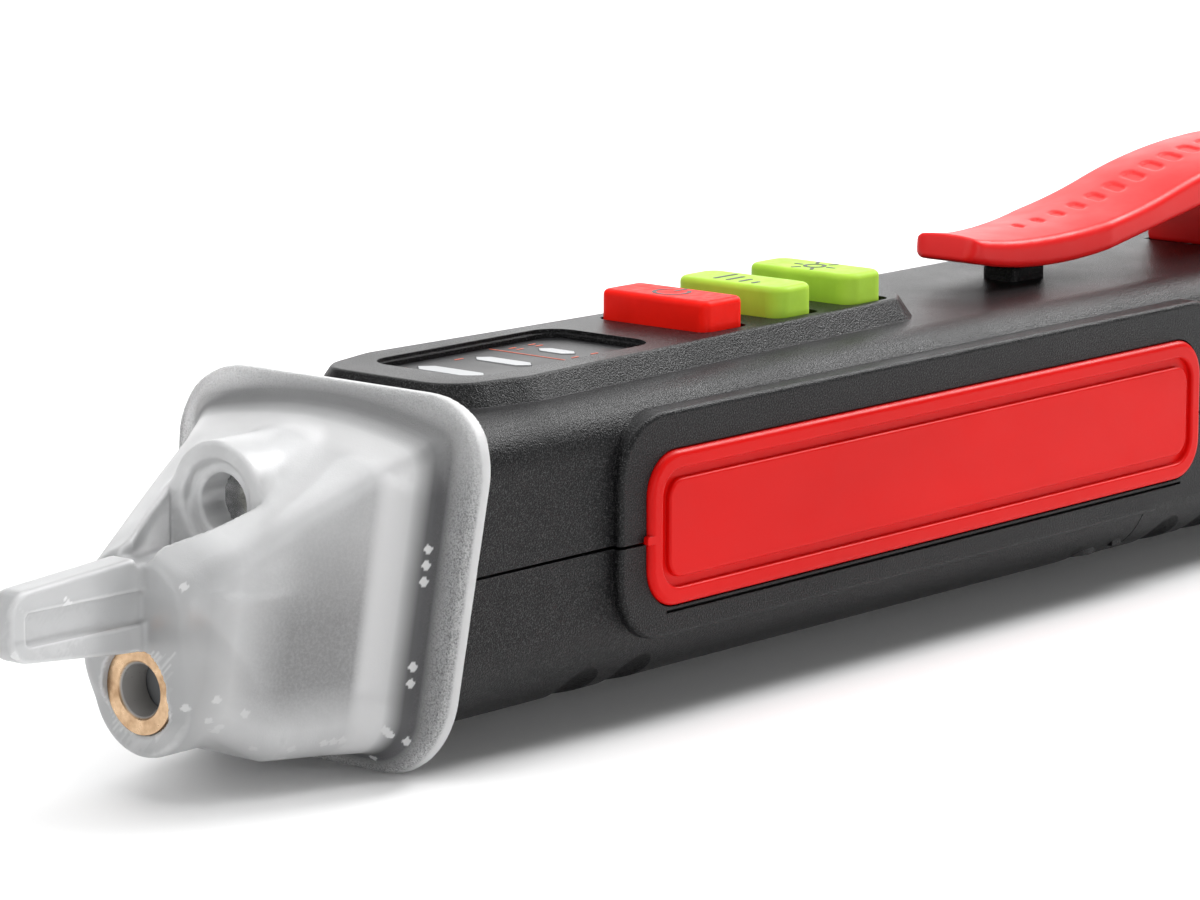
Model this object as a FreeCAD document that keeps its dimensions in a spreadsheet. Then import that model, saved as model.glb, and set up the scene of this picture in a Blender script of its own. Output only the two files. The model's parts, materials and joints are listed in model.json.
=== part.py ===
import FreeCAD, Part
import math
import os
import Sketcher

# Non contact voltage tester, a pen with a translucent sensing nose, a laser pointer, a torch,
# three push buttons, two AAA cells and a sprung pocket clip.
#
# The sub-parts are drawn in a datum frame: X runs from the laser barrel's front face towards the
# tail, Y is across the pen, Z is up from the laser's axis. One placement, shared by every
# sub-part, then moves the whole pen to the middle of its own footprint.

SIZES = [
    # name, value in mm (or degrees), what it measures
    ("origin_shift", 67.85, "datum to the middle of the pen's length"),
    ("stand_height", 7.324, "laser axis above the lowest point of the collar"),
    ("body_half", 12.2, "half width of the plain side walls"),
    ("body_top", 16.3, "top face of the housing"),
    ("body_low", -5.1, "bottom face of the housing"),
    ("seam_height", 6.0, "joint line between the two shells"),
    ("seam_gap", 0.22, "gap at the joint line"),
    ("wall", 1.6, "housing wall thickness"),
    ("tail_end", 148.0, "rear end of the housing"),
    ("tail_round", 3.0, "rounding of the tail edges"),
    ("top_round", 3.6, "rounding of the upper long edges"),
    ("low_round", 6.0, "rounding of the lower long edges"),
    ("rake_angle", 7.7, "lean of the collar and of the shells' front ends, degrees"),
    ("collar_front", 15.9, "front face of the collar on the laser axis level"),
    ("collar_thick", 1.6, "collar plate thickness"),
    ("collar_half_top", 14.7, "half width of the collar at its top corners"),
    ("collar_half_low", 12.5, "half width of the collar at its lower corners"),
    ("collar_top", 18.55, "upper edge of the collar, along its lean"),
    ("collar_low", -7.25, "lower edge of the collar, along its lean"),
    ("collar_round", 5.6, "corner rounding of the collar"),
    ("pad_front", 33.6, "front edge of the raised side pad"),
    ("pad_rear", 107.4, "rear edge of the raised side pad"),
    ("pad_half", 13.0, "outer face of the side pad from the middle"),
    ("pad_low", -1.1, "lower edge of the side pad"),
    ("pad_top", 15.0, "upper edge of the side pad"),
    ("pad_round", 4.6, "corner rounding of the side pad"),
    ("insert_front", 36.4, "front edge of the red insert"),
    ("insert_rear", 103.6, "rear edge of the red insert"),
    ("insert_low", 1.15, "lower edge of the red insert"),
    ("insert_top", 12.15, "upper edge of the red insert"),
    ("insert_round", 3.0, "corner rounding of the red insert"),
    ("insert_face", 13.4, "outer face of the red insert from the middle"),
    ("recess_floor", 11.6, "bottom of the insert's recess from the middle"),
    ("fit_gap", 0.1, "clearance of a part in its seat"),
    ("deck_top", 17.9, "top of the raised deck"),
    ("deck_slope", 34.0, "lean of the deck's side walls, degrees"),
    ("window_front", 27.2, "front edge of the indicator recess"),
    ("window_rear", 47.0, "rear edge of the indicator recess"),
    ("window_half", 5.1, "half width of the indicator recess"),
    ("window_step", 0.3, "depth of the recess rim"),
    ("window_rim", 0.45, "width of the recess rim"),
    ("window_floor", 16.9, "floor of the indicator recess"),
    ("panel_top", 17.3, "top face of the indicator panel"),
    ("panel_gap", 0.15, "groove round the indicator panel"),
    ("button_front", 52.3, "front face of the first button"),
    ("button_pitch", 8.4, "distance from button to button"),
    ("button_long", 4.5, "button length along the pen"),
    ("button_wide", 10.0, "button width across the pen"),
    ("button_top", 20.1, "top face of the buttons"),
    ("button_gap", 0.25, "gap round a button"),
    ("button_travel", 0.5, "how far a button goes down"),
    ("board_top", 10.2, "component side of the circuit board"),
    ("board_thick", 1.2, "circuit board thickness"),
    ("board_front", 25.5, "front edge of the circuit board"),
    ("board_rear", 90.2, "rear edge of the circuit board"),
    ("board_half", 9.6, "half width of the circuit board"),
    ("laser_radius", 3.0, "laser barrel radius"),
    ("laser_long", 11.0, "laser barrel length"),
    ("laser_recess", 2.4, "depth of the barrel's mouth, in front of its lens"),
    ("torch_height", 11.3, "torch axis above the laser axis"),
    ("hood_radius", 4.5, "outer radius of the torch hood"),
    ("hood_front", 7.3, "mouth of the torch hood"),
    ("blade_tip", -12.3, "front end of the sensing blade"),
    ("blade_thick", 2.3, "thickness of the sensing blade"),
    ("cell_radius", 5.25, "AAA cell radius"),
    ("cell_long", 43.7, "AAA cell length without its stud"),
    ("stud_long", 0.8, "height of the cell's stud"),
    ("cell_side", 5.3, "cell axis from the middle"),
    ("cell_height", 2.4, "cell axis above the laser axis"),
    ("bay_front", 97.4, "front wall face of the battery bay"),
    ("door_front", 98.3, "front edge of the battery door"),
    ("door_line", -0.6, "upper edge of the battery door"),
    ("clip_tip", 87.2, "front end of the clip arm"),
    ("clip_tip_half", 3.0, "half width of the clip arm at its tip"),
    ("clip_full_at", 103.0, "where the clip arm reaches its full width"),
    ("clip_half", 5.0, "half width of the clip arm"),
    ("clip_low_at", 96.0, "where the clip arm comes nearest to the housing"),
    ("clip_low", 17.7, "underside of the clip arm there"),
    ("clip_tip_bend", 36.0, "radius of the arm's underside towards its tip"),
    ("clip_bend", 45.0, "radius of the arm's underside towards its root"),
    ("clip_rise", 9.65, "slope of the straight underside before the root, degrees"),
    ("clip_root", 121.0, "where the clip arm leaves its base"),
    ("clip_back_at", 94.0, "where the clip's back is lowest"),
    ("clip_back", 20.15, "height of the clip's back there"),
    ("clip_back_tip_bend", 42.9, "radius of the clip's back towards its tip"),
    ("clip_back_bend", 72.9, "radius of the clip's back behind its lowest point"),
    ("clip_back_turn", 112.0, "where the clip's back turns from hollow to domed"),
    ("screw_at", 93.2, "screws along the pen"),
    ("screw_side", 7.6, "screws from the middle"),
]


class Size:
    """A length that knows its value and the spreadsheet formula behind it."""

    def __init__(self, value, formula):
        self.value = value
        self.formula = formula

    def __add__(self, other):
        other = as_size(other)
        return Size(self.value + other.value, f"({self.formula} + {other.formula})")

    def __sub__(self, other):
        other = as_size(other)
        return Size(self.value - other.value, f"({self.formula} - {other.formula})")

    def __mul__(self, other):
        other = as_size(other)
        return Size(self.value * other.value, f"({self.formula} * {other.formula})")

    def __truediv__(self, other):
        other = as_size(other)
        return Size(self.value / other.value, f"({self.formula} / {other.formula})")

    def __radd__(self, other):
        return as_size(other) + self

    def __rsub__(self, other):
        return as_size(other) - self

    def __rmul__(self, other):
        return as_size(other) * self

    def __neg__(self):
        return Size(-self.value, f"(0 - {self.formula})")


def as_size(thing):
    """A plain number becomes a Size with that number as its formula."""
    if isinstance(thing, Size):
        return thing
    return Size(float(thing), f"({float(thing)})")


class Sheet:
    """The sizes, read by name: sizes.wall is the wall's Size."""

    def __init__(self, doc):
        self.cells = doc.addObject("Spreadsheet::Sheet", "Sizes")
        for row, (name, value, note) in enumerate(SIZES, 1):
            self.cells.set(f"A{row}", note)
            self.cells.set(f"B{row}", str(value))
            self.cells.setAlias(f"B{row}", name)
            setattr(self, name, Size(value, f"Sizes.{name}"))
        doc.recompute()


doc = FreeCAD.newDocument("voltage_tester")
sizes = Sheet(doc)


# ---- sketches ---------------------------------------------------------------------------------


def new_body(label):
    """A sub-part, placed with the rest of the pen."""
    body = doc.addObject("PartDesign::Body", label)
    body.Label = label
    body.setExpression("Placement.Base.x", "0 - Sizes.origin_shift")
    body.setExpression("Placement.Base.z", "Sizes.stand_height")
    return body


def new_sketch(body, role, offset=0.0, lean=0.0):
    """A sketch on one of the body's origin planes, moved along its normal and leaned back."""
    sketch = body.newObject("Sketcher::SketchObject", f"{body.Name}_outline")
    plane = next(f for f in body.Origin.OriginFeatures if f.Role == role)
    sketch.AttachmentSupport = (plane, [""])
    sketch.MapMode = "FlatFace"
    offset = as_size(offset)
    turn = FreeCAD.Rotation(FreeCAD.Vector(1, 0, 0), lean)
    sketch.AttachmentOffset = FreeCAD.Placement(FreeCAD.Vector(0, 0, offset.value), turn)
    sketch.setExpression("AttachmentOffset.Base.z", offset.formula)
    return sketch


def across(body, offset=0.0, lean=0.0):
    """A sketch across the pen: Y to the right, Z up, at X = offset."""
    return new_sketch(body, "YZ_Plane", offset, lean)


def beside(body, offset=0.0):
    """A sketch seen from the side: X to the right, Z up, at Y = -offset."""
    return new_sketch(body, "XZ_Plane", offset)


def above(body, offset=0.0):
    """A sketch seen from above: X to the right, Y up, at Z = offset."""
    return new_sketch(body, "XY_Plane", offset)


def drive(sketch, kind, where, size):
    """One driving dimension, bound to its formula."""
    size = as_size(size)
    index = sketch.addConstraint(Sketcher.Constraint(kind, *where, size.value))
    sketch.renameConstraint(index, f"size{index}")
    sketch.setExpression(f"Constraints.size{index}", size.formula)


def pin_point(sketch, geometry, position, x, y):
    """Hold a point at x, y; a zero lies on the axis itself."""
    for kind, size, axis in (("DistanceX", as_size(x), -2), ("DistanceY", as_size(y), -1)):
        if abs(size.value) < 1e-9:
            on_axis = Sketcher.Constraint("PointOnObject", geometry, position, axis)
            sketch.addConstraint(on_axis)
        else:
            drive(sketch, kind, (-1, 1, geometry, position), size)


def circle(sketch, x, y, radius):
    """A full circle."""
    centre = FreeCAD.Vector(as_size(x).value, as_size(y).value, 0)
    shape = Part.Circle(centre, FreeCAD.Vector(0, 0, 1), as_size(radius).value)
    index = sketch.addGeometry(shape)
    pin_point(sketch, index, 3, x, y)
    drive(sketch, "Radius", (index,), radius)


def corner_arc(before, at, after, radius):
    """Tangent points, centre and turning sense of a rounding at the corner `at`."""
    back = (before - at).normalize()
    ahead = (after - at).normalize()
    half = math.acos(max(-1.0, min(1.0, back.dot(ahead)))) / 2
    reach = radius / math.tan(half)
    bisector = (back + ahead).normalize()
    centre = at + bisector * (radius / math.sin(half))
    left_turn = back.cross(ahead).z < 0
    return at + back * reach, at + ahead * reach, centre, left_turn


def outline(sketch, corners):
    """A closed outline through corners (x, y) or (x, y, radius), each bound to the sheet."""
    corners = [(*corner, 0)[:3] for corner in corners]
    count = len(corners)
    spots = [FreeCAD.Vector(as_size(x).value, as_size(y).value, 0) for x, y, _ in corners]
    rounds = []
    for i, (_, _, radius) in enumerate(corners):
        radius = as_size(radius).value
        if radius:
            rounds.append(corner_arc(spots[i - 1], spots[i], spots[(i + 1) % count], radius))
        else:
            rounds.append((spots[i], spots[i], None, None))
    lines = []
    for i in range(count):
        segment = Part.LineSegment(rounds[i][1], rounds[(i + 1) % count][0])
        lines.append(sketch.addGeometry(segment))
    for i, (x, y, radius) in enumerate(corners):
        entering, leaving = lines[i - 1], lines[i]
        first, last, centre, left_turn = rounds[i]
        if centre is None:
            joint = Sketcher.Constraint("Coincident", entering, 2, leaving, 1)
            sketch.addConstraint(joint)
            pin_point(sketch, leaving, 1, x, y)
            continue
        start, end = (first, last) if left_turn else (last, first)
        angles = [math.atan2((p - centre).y, (p - centre).x) for p in (start, end)]
        ring = Part.Circle(centre, FreeCAD.Vector(0, 0, 1), as_size(radius).value)
        arc = sketch.addGeometry(Part.ArcOfCircle(ring, *angles))
        near, far = (1, 2) if left_turn else (2, 1)
        sketch.addConstraint(Sketcher.Constraint("Tangent", entering, 2, arc, near))
        sketch.addConstraint(Sketcher.Constraint("Tangent", arc, far, leaving, 1))
        drive(sketch, "Radius", (arc,), radius)
        corner = sketch.addGeometry(Part.Point(spots[i]), True)
        sketch.addConstraint(Sketcher.Constraint("PointOnObject", corner, 1, entering))
        sketch.addConstraint(Sketcher.Constraint("PointOnObject", corner, 1, leaving))
        pin_point(sketch, corner, 1, x, y)


def box_outline(sketch, left, right, low, high, radius=0):
    """A rectangle between two pairs of limits, with rounded corners if a radius is given."""
    corners = [(left, low, radius), (right, low, radius), (right, high, radius), (left, high, radius)]
    outline(sketch, corners)


# ---- features ---------------------------------------------------------------------------------


def extrude(kind, body, sketch, length, flip=False, both=False):
    """A Pad or a Pocket of a sketch; both makes it grow to each side of the sketch."""
    feature = body.newObject(f"PartDesign::{kind}", f"{body.Name}_{kind.lower()}")
    feature.Profile = sketch
    feature.SideType = "Symmetric" if both else "One side"
    feature.Reversed = flip
    if length is None:
        feature.Type = "ThroughAll"
    else:
        feature.setExpression("Length", as_size(length).formula)
    doc.recompute()
    if feature.Shape.isNull():
        raise RuntimeError(f"{feature.Name} failed: {feature.State}")
    return feature


def pad(body, sketch, length, flip=False, both=False):
    """Add material along the sketch's normal."""
    return extrude("Pad", body, sketch, length, flip, both)


def pocket(body, sketch, length=None, flip=False, both=False):
    """Cut against the sketch's normal, and make sure that something was cut."""
    before = body.Shape.Volume
    feature = extrude("Pocket", body, sketch, length, flip, both)
    if feature.Shape.Volume > before - 1e-3:
        raise RuntimeError(f"{feature.Name} cut nothing")
    return feature


def loft(kind, body, first, last):
    """An AdditiveLoft or a SubtractiveLoft from one sketch to another."""
    feature = body.newObject(f"PartDesign::{kind}", f"{body.Name}_{kind.lower()}")
    feature.Profile = first
    feature.Sections = [last]
    feature.Ruled = True
    doc.recompute()
    return feature


def revolve(body, sketch, role="X_Axis"):
    """A full turn of a sketch about one of the body's origin axes."""
    feature = body.newObject("PartDesign::Revolution", f"{body.Name}_turn")
    feature.Profile = sketch
    axis = next(f for f in body.Origin.OriginFeatures if f.Role == role)
    feature.ReferenceAxis = (axis, [""])
    feature.Angle = 360.0
    doc.recompute()
    return feature


def soften(kind, body, radius, wanted):
    """A Fillet or a Chamfer on the edges whose midpoint satisfies `wanted`."""
    base = body.Tip
    names = []
    for number, edge in enumerate(base.Shape.Edges, 1):
        middle = edge.valueAt((edge.FirstParameter + edge.LastParameter) / 2)
        if wanted(edge, middle):
            names.append(f"Edge{number}")
    if not names:
        raise RuntimeError(f"{body.Name}: no edge to soften")
    feature = body.newObject(f"PartDesign::{kind}", f"{body.Name}_{kind.lower()}")
    feature.Base = (base, names)
    key = "Radius" if kind == "Fillet" else "Size"
    feature.setExpression(key, as_size(radius).formula)
    doc.recompute()
    if feature.Shape.isNull():
        raise RuntimeError(f"{feature.Name} failed: {feature.State}")
    return feature


def mirror_sides(body, features):
    """Repeat features on the other side of the pen."""
    mirrored = body.newObject("PartDesign::Mirrored", f"{body.Name}_mirrored")
    mirrored.Originals = features
    plane = next(f for f in body.Origin.OriginFeatures if f.Role == "XZ_Plane")
    mirrored.MirrorPlane = (plane, [""])
    body.Tip = mirrored
    doc.recompute()
    return mirrored


def near(value, target, reach=0.02):
    """True when two lengths agree."""
    return abs(value - target) < reach


def straight(edge, direction):
    """True for a straight edge along a direction."""
    if edge.Curve.TypeId != "Part::GeomLine":
        return False
    return abs(abs(edge.Curve.Direction.dot(FreeCAD.Vector(*direction))) - 1) < 1e-6


# ---- housing ----------------------------------------------------------------------------------

SHELL_START = 14.0  # the shells are drawn from here and cut back by the leaning collar
SCALLOP_RADIUS = 3.0
SCALLOP_HEIGHT = -4.2  # the grooves' axis where it leaves the sketch plane
SCALLOP_FALL = 0.6  # how much the grooves sink per mm towards the middle
SCALLOP_LENGTH = 9.0
SCALLOPS_ON_SHELL = (32.4, 38.1)
SCALLOPS_ON_DOOR = (103.3, 109.2)
BUTTON_NAMES = ("power", "sensitivity", "light")
DECK_OUTLINE = (  # along the pen, half width, corner radius
    (22.65, 6.95, 4.3), (30.0, 8.65, 6.0), (53.0, 7.55, 40.0), (74.6, 6.65, 2.2), (77.35, 4.7, 2.6),
)
GUIDES = (  # middle along the pen, half length across, width along the pen
    (30.6, 3.1, 1.7), (36.1, 2.6, 1.5), (41.8, 1.7, 1.3),
)
REST_FRONT, REST_REAR, REST_HALF = 94.5, 98.9, 1.7  # the rest pad under the clip


def collar_rear_at(height, gap=0.1):
    """X of the collar's rear plane, with a gap, at a height above the laser axis."""
    lean = math.radians(sizes.rake_angle.value)
    depth = (sizes.collar_thick.value + gap) / math.cos(lean)
    return sizes.collar_front.value + depth + height * math.tan(lean)


def cut_front(body, low, high):
    """Lean the shell's front end to follow the collar."""
    sketch = beside(body)
    ahead = SHELL_START - 2
    outline(sketch, [
        (ahead, low),
        (collar_rear_at(low), low),
        (collar_rear_at(high), high),
        (ahead, high),
    ])
    pocket(body, sketch, None, both=True)


def wire_path(points, radius):
    """Straight runs joined by tangent arcs of one radius, as a wire."""
    spots = [FreeCAD.Vector(*point) for point in points]
    edges = []
    start = spots[0]
    for before, at, after in zip(spots, spots[1:], spots[2:]):
        back = (before - at).normalize()
        ahead = (after - at).normalize()
        half = math.acos(max(-1.0, min(1.0, back.dot(ahead)))) / 2
        reach = radius / math.tan(half)
        centre = at + (back + ahead).normalize() * (radius / math.sin(half))
        first, last = at + back * reach, at + ahead * reach
        middle = centre + (at - centre).normalize() * radius
        edges.append(Part.LineSegment(start, first).toShape())
        edges.append(Part.Arc(first, middle, last).toShape())
        start = last
    edges.append(Part.LineSegment(start, spots[-1]).toShape())
    return Part.Wire(edges)


def wire_solid(points, bend, radius):
    """A round wire along a bent path."""
    path = wire_path(points, bend)
    start = FreeCAD.Vector(*points[0])
    heading = (FreeCAD.Vector(*points[1]) - start).normalize()
    section = Part.Wire(Part.Circle(start, heading, radius).toShape())
    return path.makePipeShell([section], True, True)


def add_shape(label, shape):
    """A sub-part whose shape is made directly, placed with the rest of the pen."""
    feature = doc.addObject("Part::Feature", label)
    feature.Label = label
    feature.Shape = shape
    base = FreeCAD.Vector(-sizes.origin_shift.value, 0, sizes.stand_height.value)
    feature.Placement = FreeCAD.Placement(base, FreeCAD.Rotation())
    feature.setExpression("Placement.Base.x", "0 - Sizes.origin_shift")
    feature.setExpression("Placement.Base.z", "Sizes.stand_height")
    return feature


def side_pad(body, high_edge, low_edge, upper):
    """The raised pad on one side wall, its insert recess, and their mirror images."""
    round_top = sizes.pad_round if upper else 0
    round_low = 0 if upper else sizes.pad_round
    sketch = beside(body, sizes.pad_half)
    outline(sketch, [
        (sizes.pad_front, low_edge, round_low),
        (sizes.pad_rear, low_edge, round_low),
        (sizes.pad_rear, high_edge, round_top),
        (sizes.pad_front, high_edge, round_top),
    ])
    raised = pad(body, sketch, sizes.pad_half - sizes.body_half + sizes.wall * 0.9, flip=True)
    recess = beside(body, sizes.pad_half)
    box_outline(
        recess,
        sizes.insert_front - sizes.fit_gap,
        sizes.insert_rear + sizes.fit_gap,
        sizes.insert_low - sizes.fit_gap,
        sizes.insert_top + sizes.fit_gap,
        sizes.insert_round + sizes.fit_gap,
    )
    cut = pocket(body, recess, sizes.pad_half - sizes.recess_floor)
    return [raised, cut]


def pad_edge(middle):
    """True on the outer edge of a side pad, away from its recess."""
    outside = (
        middle.x < sizes.insert_front.value - 0.5
        or middle.x > sizes.insert_rear.value + 0.5
        or middle.z > sizes.insert_top.value + 0.5
        or middle.z < sizes.pad_low.value + 1.4
    )
    return near(abs(middle.y), sizes.pad_half.value) and outside


def tail_edges(edge, middle, low, high):
    """Edges of the tail face between two heights."""
    return near(middle.x, sizes.tail_end.value) and low < middle.z < high


def shell_walls(body, upper):
    """The arched outer wall with its rounded tail, hollowed from the front."""
    half, gap = sizes.body_half, sizes.seam_gap / 2
    seam = sizes.seam_height + gap if upper else sizes.seam_height - gap
    edge = sizes.body_top if upper else sizes.body_low
    rounding = sizes.top_round if upper else sizes.low_round
    inner_edge = edge - sizes.wall if upper else edge + sizes.wall
    section = across(body, SHELL_START)
    outline(section, [(-half, seam), (-half, edge, rounding), (half, edge, rounding), (half, seam)])
    pad(body, section, sizes.tail_end - SHELL_START)
    low, high = sorted((seam.value, edge.value))
    margin = 0.01 if upper else -0.01
    soften("Fillet", body, sizes.tail_round, lambda e, m: tail_edges(e, m, low - 1, high + 1)
           and not near(m.z, seam.value, abs(margin)))
    inner = half - sizes.wall
    hollow = across(body, sizes.tail_end - sizes.wall)
    outline(hollow, [
        (-inner, seam),
        (-inner, inner_edge, rounding - sizes.wall),
        (inner, inner_edge, rounding - sizes.wall),
        (inner, seam),
    ])
    pocket(body, hollow, None)
    cut_front(body, min(low, high) - 2, max(low, high) + 2)


def deck(body):
    """The raised deck with sloping sides, the indicator recess and the button openings."""
    sketch = above(body, sizes.body_top)
    near_side = [(x, -half, radius) for x, half, radius in DECK_OUTLINE]
    far_side = [(x, half, radius) for x, half, radius in reversed(DECK_OUTLINE)]
    outline(sketch, near_side + far_side)
    slab = pad(body, sketch, sizes.deck_top - sizes.body_top)
    slab.setExpression("TaperAngle", (-sizes.deck_slope).formula)
    doc.recompute()
    soften("Fillet", body, 0.35, lambda e, m: near(m.z, sizes.deck_top.value))
    rim = above(body, sizes.deck_top)
    box_outline(rim, sizes.window_front, sizes.window_rear, -sizes.window_half, sizes.window_half, 2.2)
    pocket(body, rim, sizes.window_step)
    floor = above(body, sizes.deck_top)
    box_outline(floor, *panel_limits(sizes.panel_gap), 1.5)
    pocket(body, floor, sizes.deck_top - sizes.window_floor)
    for middle, long_half, wide in guide_places():
        hole = above(body, sizes.deck_top)
        hexagon(hole, middle, long_half + sizes.fit_gap / 2, wide + sizes.fit_gap)
        pocket(body, hole, 4.0)
    gap = sizes.button_gap
    for number in range(len(BUTTON_NAMES)):
        front = sizes.button_front + sizes.button_pitch * number
        opening = above(body, sizes.deck_top)
        box_outline(
            opening,
            front - gap,
            front + sizes.button_long + gap * 2,
            -sizes.button_wide / 2 - gap,
            sizes.button_wide / 2 + gap,
            1.0,
        )
        pocket(body, opening, 4.0)


def panel_limits(gap):
    """Front, rear, right and left limits of the indicator panel, grown by a gap."""
    rim = sizes.window_rim
    half = sizes.window_half - rim + gap
    return sizes.window_front + rim - gap, sizes.window_rear - rim + gap, -half, half


def guide_places():
    """Middle, half length across and width along the pen of the three indicator windows."""
    return [(middle, as_size(long_half), as_size(wide)) for middle, long_half, wide in GUIDES]


def hexagon(sketch, middle, long_half, wide):
    """A hexagon stretched across the pen."""
    middle = as_size(middle)
    shoulder = long_half - wide / 2
    outline(sketch, [
        (middle - wide / 2, -shoulder),
        (middle, -long_half),
        (middle + wide / 2, -shoulder),
        (middle + wide / 2, shoulder),
        (middle, long_half),
        (middle - wide / 2, shoulder),
    ])


def upper_shell():
    """The upper half of the housing."""
    body = new_body("upper_shell")
    shell_walls(body, True)
    seam = sizes.seam_height + sizes.seam_gap / 2
    sides = side_pad(body, sizes.pad_top, seam, True)
    mirror_sides(body, sides)
    soften("Fillet", body, 0.4, lambda e, m: pad_edge(m) and m.z > seam.value + 0.1)
    deck(body)
    rest = above(body, sizes.body_top)
    box_outline(rest, REST_FRONT, REST_REAR, -REST_HALF, REST_HALF, 0.8)
    rest_top = sizes.clip_low - 0.15
    pad(body, rest, rest_top - sizes.body_top)
    soften("Fillet", body, 0.4, lambda e, m: near(m.z, rest_top.value) and m.x > REST_FRONT - 1)
    seat = above(body, sizes.body_top)
    box_outline(seat, *clip_seat(sizes.fit_gap))
    pocket(body, seat, 0.8)
    slot = above(body, sizes.body_top)
    box_outline(slot, *clip_tongue(sizes.fit_gap))
    pocket(body, slot, 3.0)
    for along in (106.0, 121.0, 136.0):
        rib = across(body, along)
        top = sizes.body_top - sizes.wall + 0.2
        half = sizes.body_half - sizes.wall - 0.8
        low = sizes.cell_height + sizes.cell_radius + 0.2
        box_outline(rib, -half, half, low, top)
        pad(body, rib, 1.2)
    slot_again = above(body, sizes.body_top)
    box_outline(slot_again, *clip_tongue(sizes.fit_gap))
    pocket(body, slot_again, 3.0)
    bosses = above(body, seam)
    for side in (-1, 1):
        circle(bosses, sizes.screw_at, sizes.screw_side * side, 2.2)
    pad(body, bosses, sizes.body_top - sizes.wall + 0.2 - seam)
    pilots = above(body, seam)
    for side in (-1, 1):
        circle(pilots, sizes.screw_at, sizes.screw_side * side, 0.9)
    pocket(body, pilots, 6.0, flip=True)
    return body


def lower_shell():
    """The lower half of the housing, open underneath for the battery door."""
    body = new_body("lower_shell")
    shell_walls(body, False)
    seam = sizes.seam_height - sizes.seam_gap / 2
    sides = side_pad(body, seam, sizes.pad_low, False)
    slit = beside(body, sizes.pad_half)
    slit_top = sizes.insert_low - 0.3
    box_outline(slit, sizes.insert_front + 2.1, sizes.insert_rear - 2.1, slit_top - 0.2, slit_top)
    sides.append(pocket(body, slit, 0.4))
    mirror_sides(body, sides)
    soften("Fillet", body, 0.4, lambda e, m: pad_edge(m) and m.z < seam.value - 0.1)
    opening = beside(body)
    line = sizes.door_line + sizes.fit_gap
    front = sizes.door_front - sizes.fit_gap
    box_outline(opening, front, sizes.tail_end + 5, sizes.body_low - 5, line)
    pocket(body, opening, None, both=True)
    groove = above(body, line)
    for side in (-1, 1):
        edges = sorted((side * 11.0, side * 11.8))
        box_outline(groove, 101.0, sizes.tail_end - 2.6, edges[0], edges[1])
    pocket(body, groove, 1.0, flip=True)
    wall = across(body, sizes.bay_front - 1.2)
    box_outline(wall, -10.3, 10.3, sizes.body_low + 1.2, 8.4)
    pad(body, wall, 1.2)
    posts = above(body, sizes.body_low + 1.0)
    for along in (29.0, 88.0):
        for side in (-8.2, 8.2):
            circle(posts, along, side, 1.2)
    pad(body, posts, sizes.board_top - sizes.board_thick - 0.05 - sizes.body_low - 1.0)
    bosses = above(body, sizes.body_low + 1.0)
    for side in (-1, 1):
        circle(bosses, sizes.screw_at, sizes.screw_side * side, 2.6)
    pad(body, bosses, seam - sizes.body_low - 1.0)
    sinks = above(body, sizes.body_low - 1.0)
    for side in (-1, 1):
        circle(sinks, sizes.screw_at, sizes.screw_side * side, 2.0)
    pocket(body, sinks, 4.0, flip=True)
    holes = above(body, sizes.body_low - 1.0)
    for side in (-1, 1):
        circle(holes, sizes.screw_at, sizes.screw_side * side, 1.15)
    pocket(body, holes, None, flip=True)
    scallops(body, SCALLOPS_ON_SHELL)
    return body


def scallops(body, places):
    """Round grooves across the lower long edges, on both sides, sinking towards the underside."""
    outer = sizes.body_half + 1
    cuts = []
    for along in places:
        sketch = beside(body, outer)
        circle(sketch, along, SCALLOP_HEIGHT, SCALLOP_RADIUS)
        cut = pocket(body, sketch, SCALLOP_LENGTH)
        cut.UseCustomVector = True
        cut.Direction = FreeCAD.Vector(0, 1, -SCALLOP_FALL)
        cuts.append(cut)
    mirror_sides(body, cuts)


def battery_door():
    """The sliding door under the cells, with guide tongues and thumb scallops."""
    body = new_body("battery_door")
    half, low, line = sizes.body_half, sizes.body_low, sizes.door_line
    section = across(body, sizes.door_front)
    rounding = sizes.low_round
    outline(section, [(-half, 4.0), (-half, low, rounding), (half, low, rounding), (half, 4.0)])
    pad(body, section, sizes.tail_end - sizes.door_front)
    soften("Fillet", body, sizes.tail_round, lambda e, m: near(m.x, sizes.tail_end.value) and m.z < 3.9)
    inner, floor = half - sizes.wall, low + sizes.wall
    hollow = across(body, sizes.tail_end - sizes.wall)
    rounding = sizes.low_round - sizes.wall
    outline(hollow, [(-inner, 4.0), (-inner, floor, rounding), (inner, floor, rounding), (inner, 4.0)])
    pocket(body, hollow, None)
    upper_part = beside(body)
    box_outline(upper_part, sizes.door_front - 5, sizes.tail_end + 5, line, 6.0)
    pocket(body, upper_part, None, both=True)
    tongues = above(body, line)
    for side in (-1, 1):
        edges = sorted((side * 11.1, side * 11.6))
        box_outline(tongues, 102.0, 137.0, edges[0], edges[1])
    pad(body, tongues, 0.8)
    scallops(body, SCALLOPS_ON_DOOR)
    return body


# ---- nose -------------------------------------------------------------------------------------


def collar_sketch(body, offset, grow=0.0):
    """The collar's outline on its leaning plane, a little narrower towards the bottom."""
    sketch = across(body, offset, sizes.rake_angle.value)
    top, low = sizes.collar_half_top + grow, sizes.collar_half_low + grow
    outline(sketch, [
        (-low, sizes.collar_low - grow, sizes.collar_round),
        (low, sizes.collar_low - grow, sizes.collar_round),
        (top, sizes.collar_top + grow, sizes.collar_round),
        (-top, sizes.collar_top + grow, sizes.collar_round),
    ])
    return sketch


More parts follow.
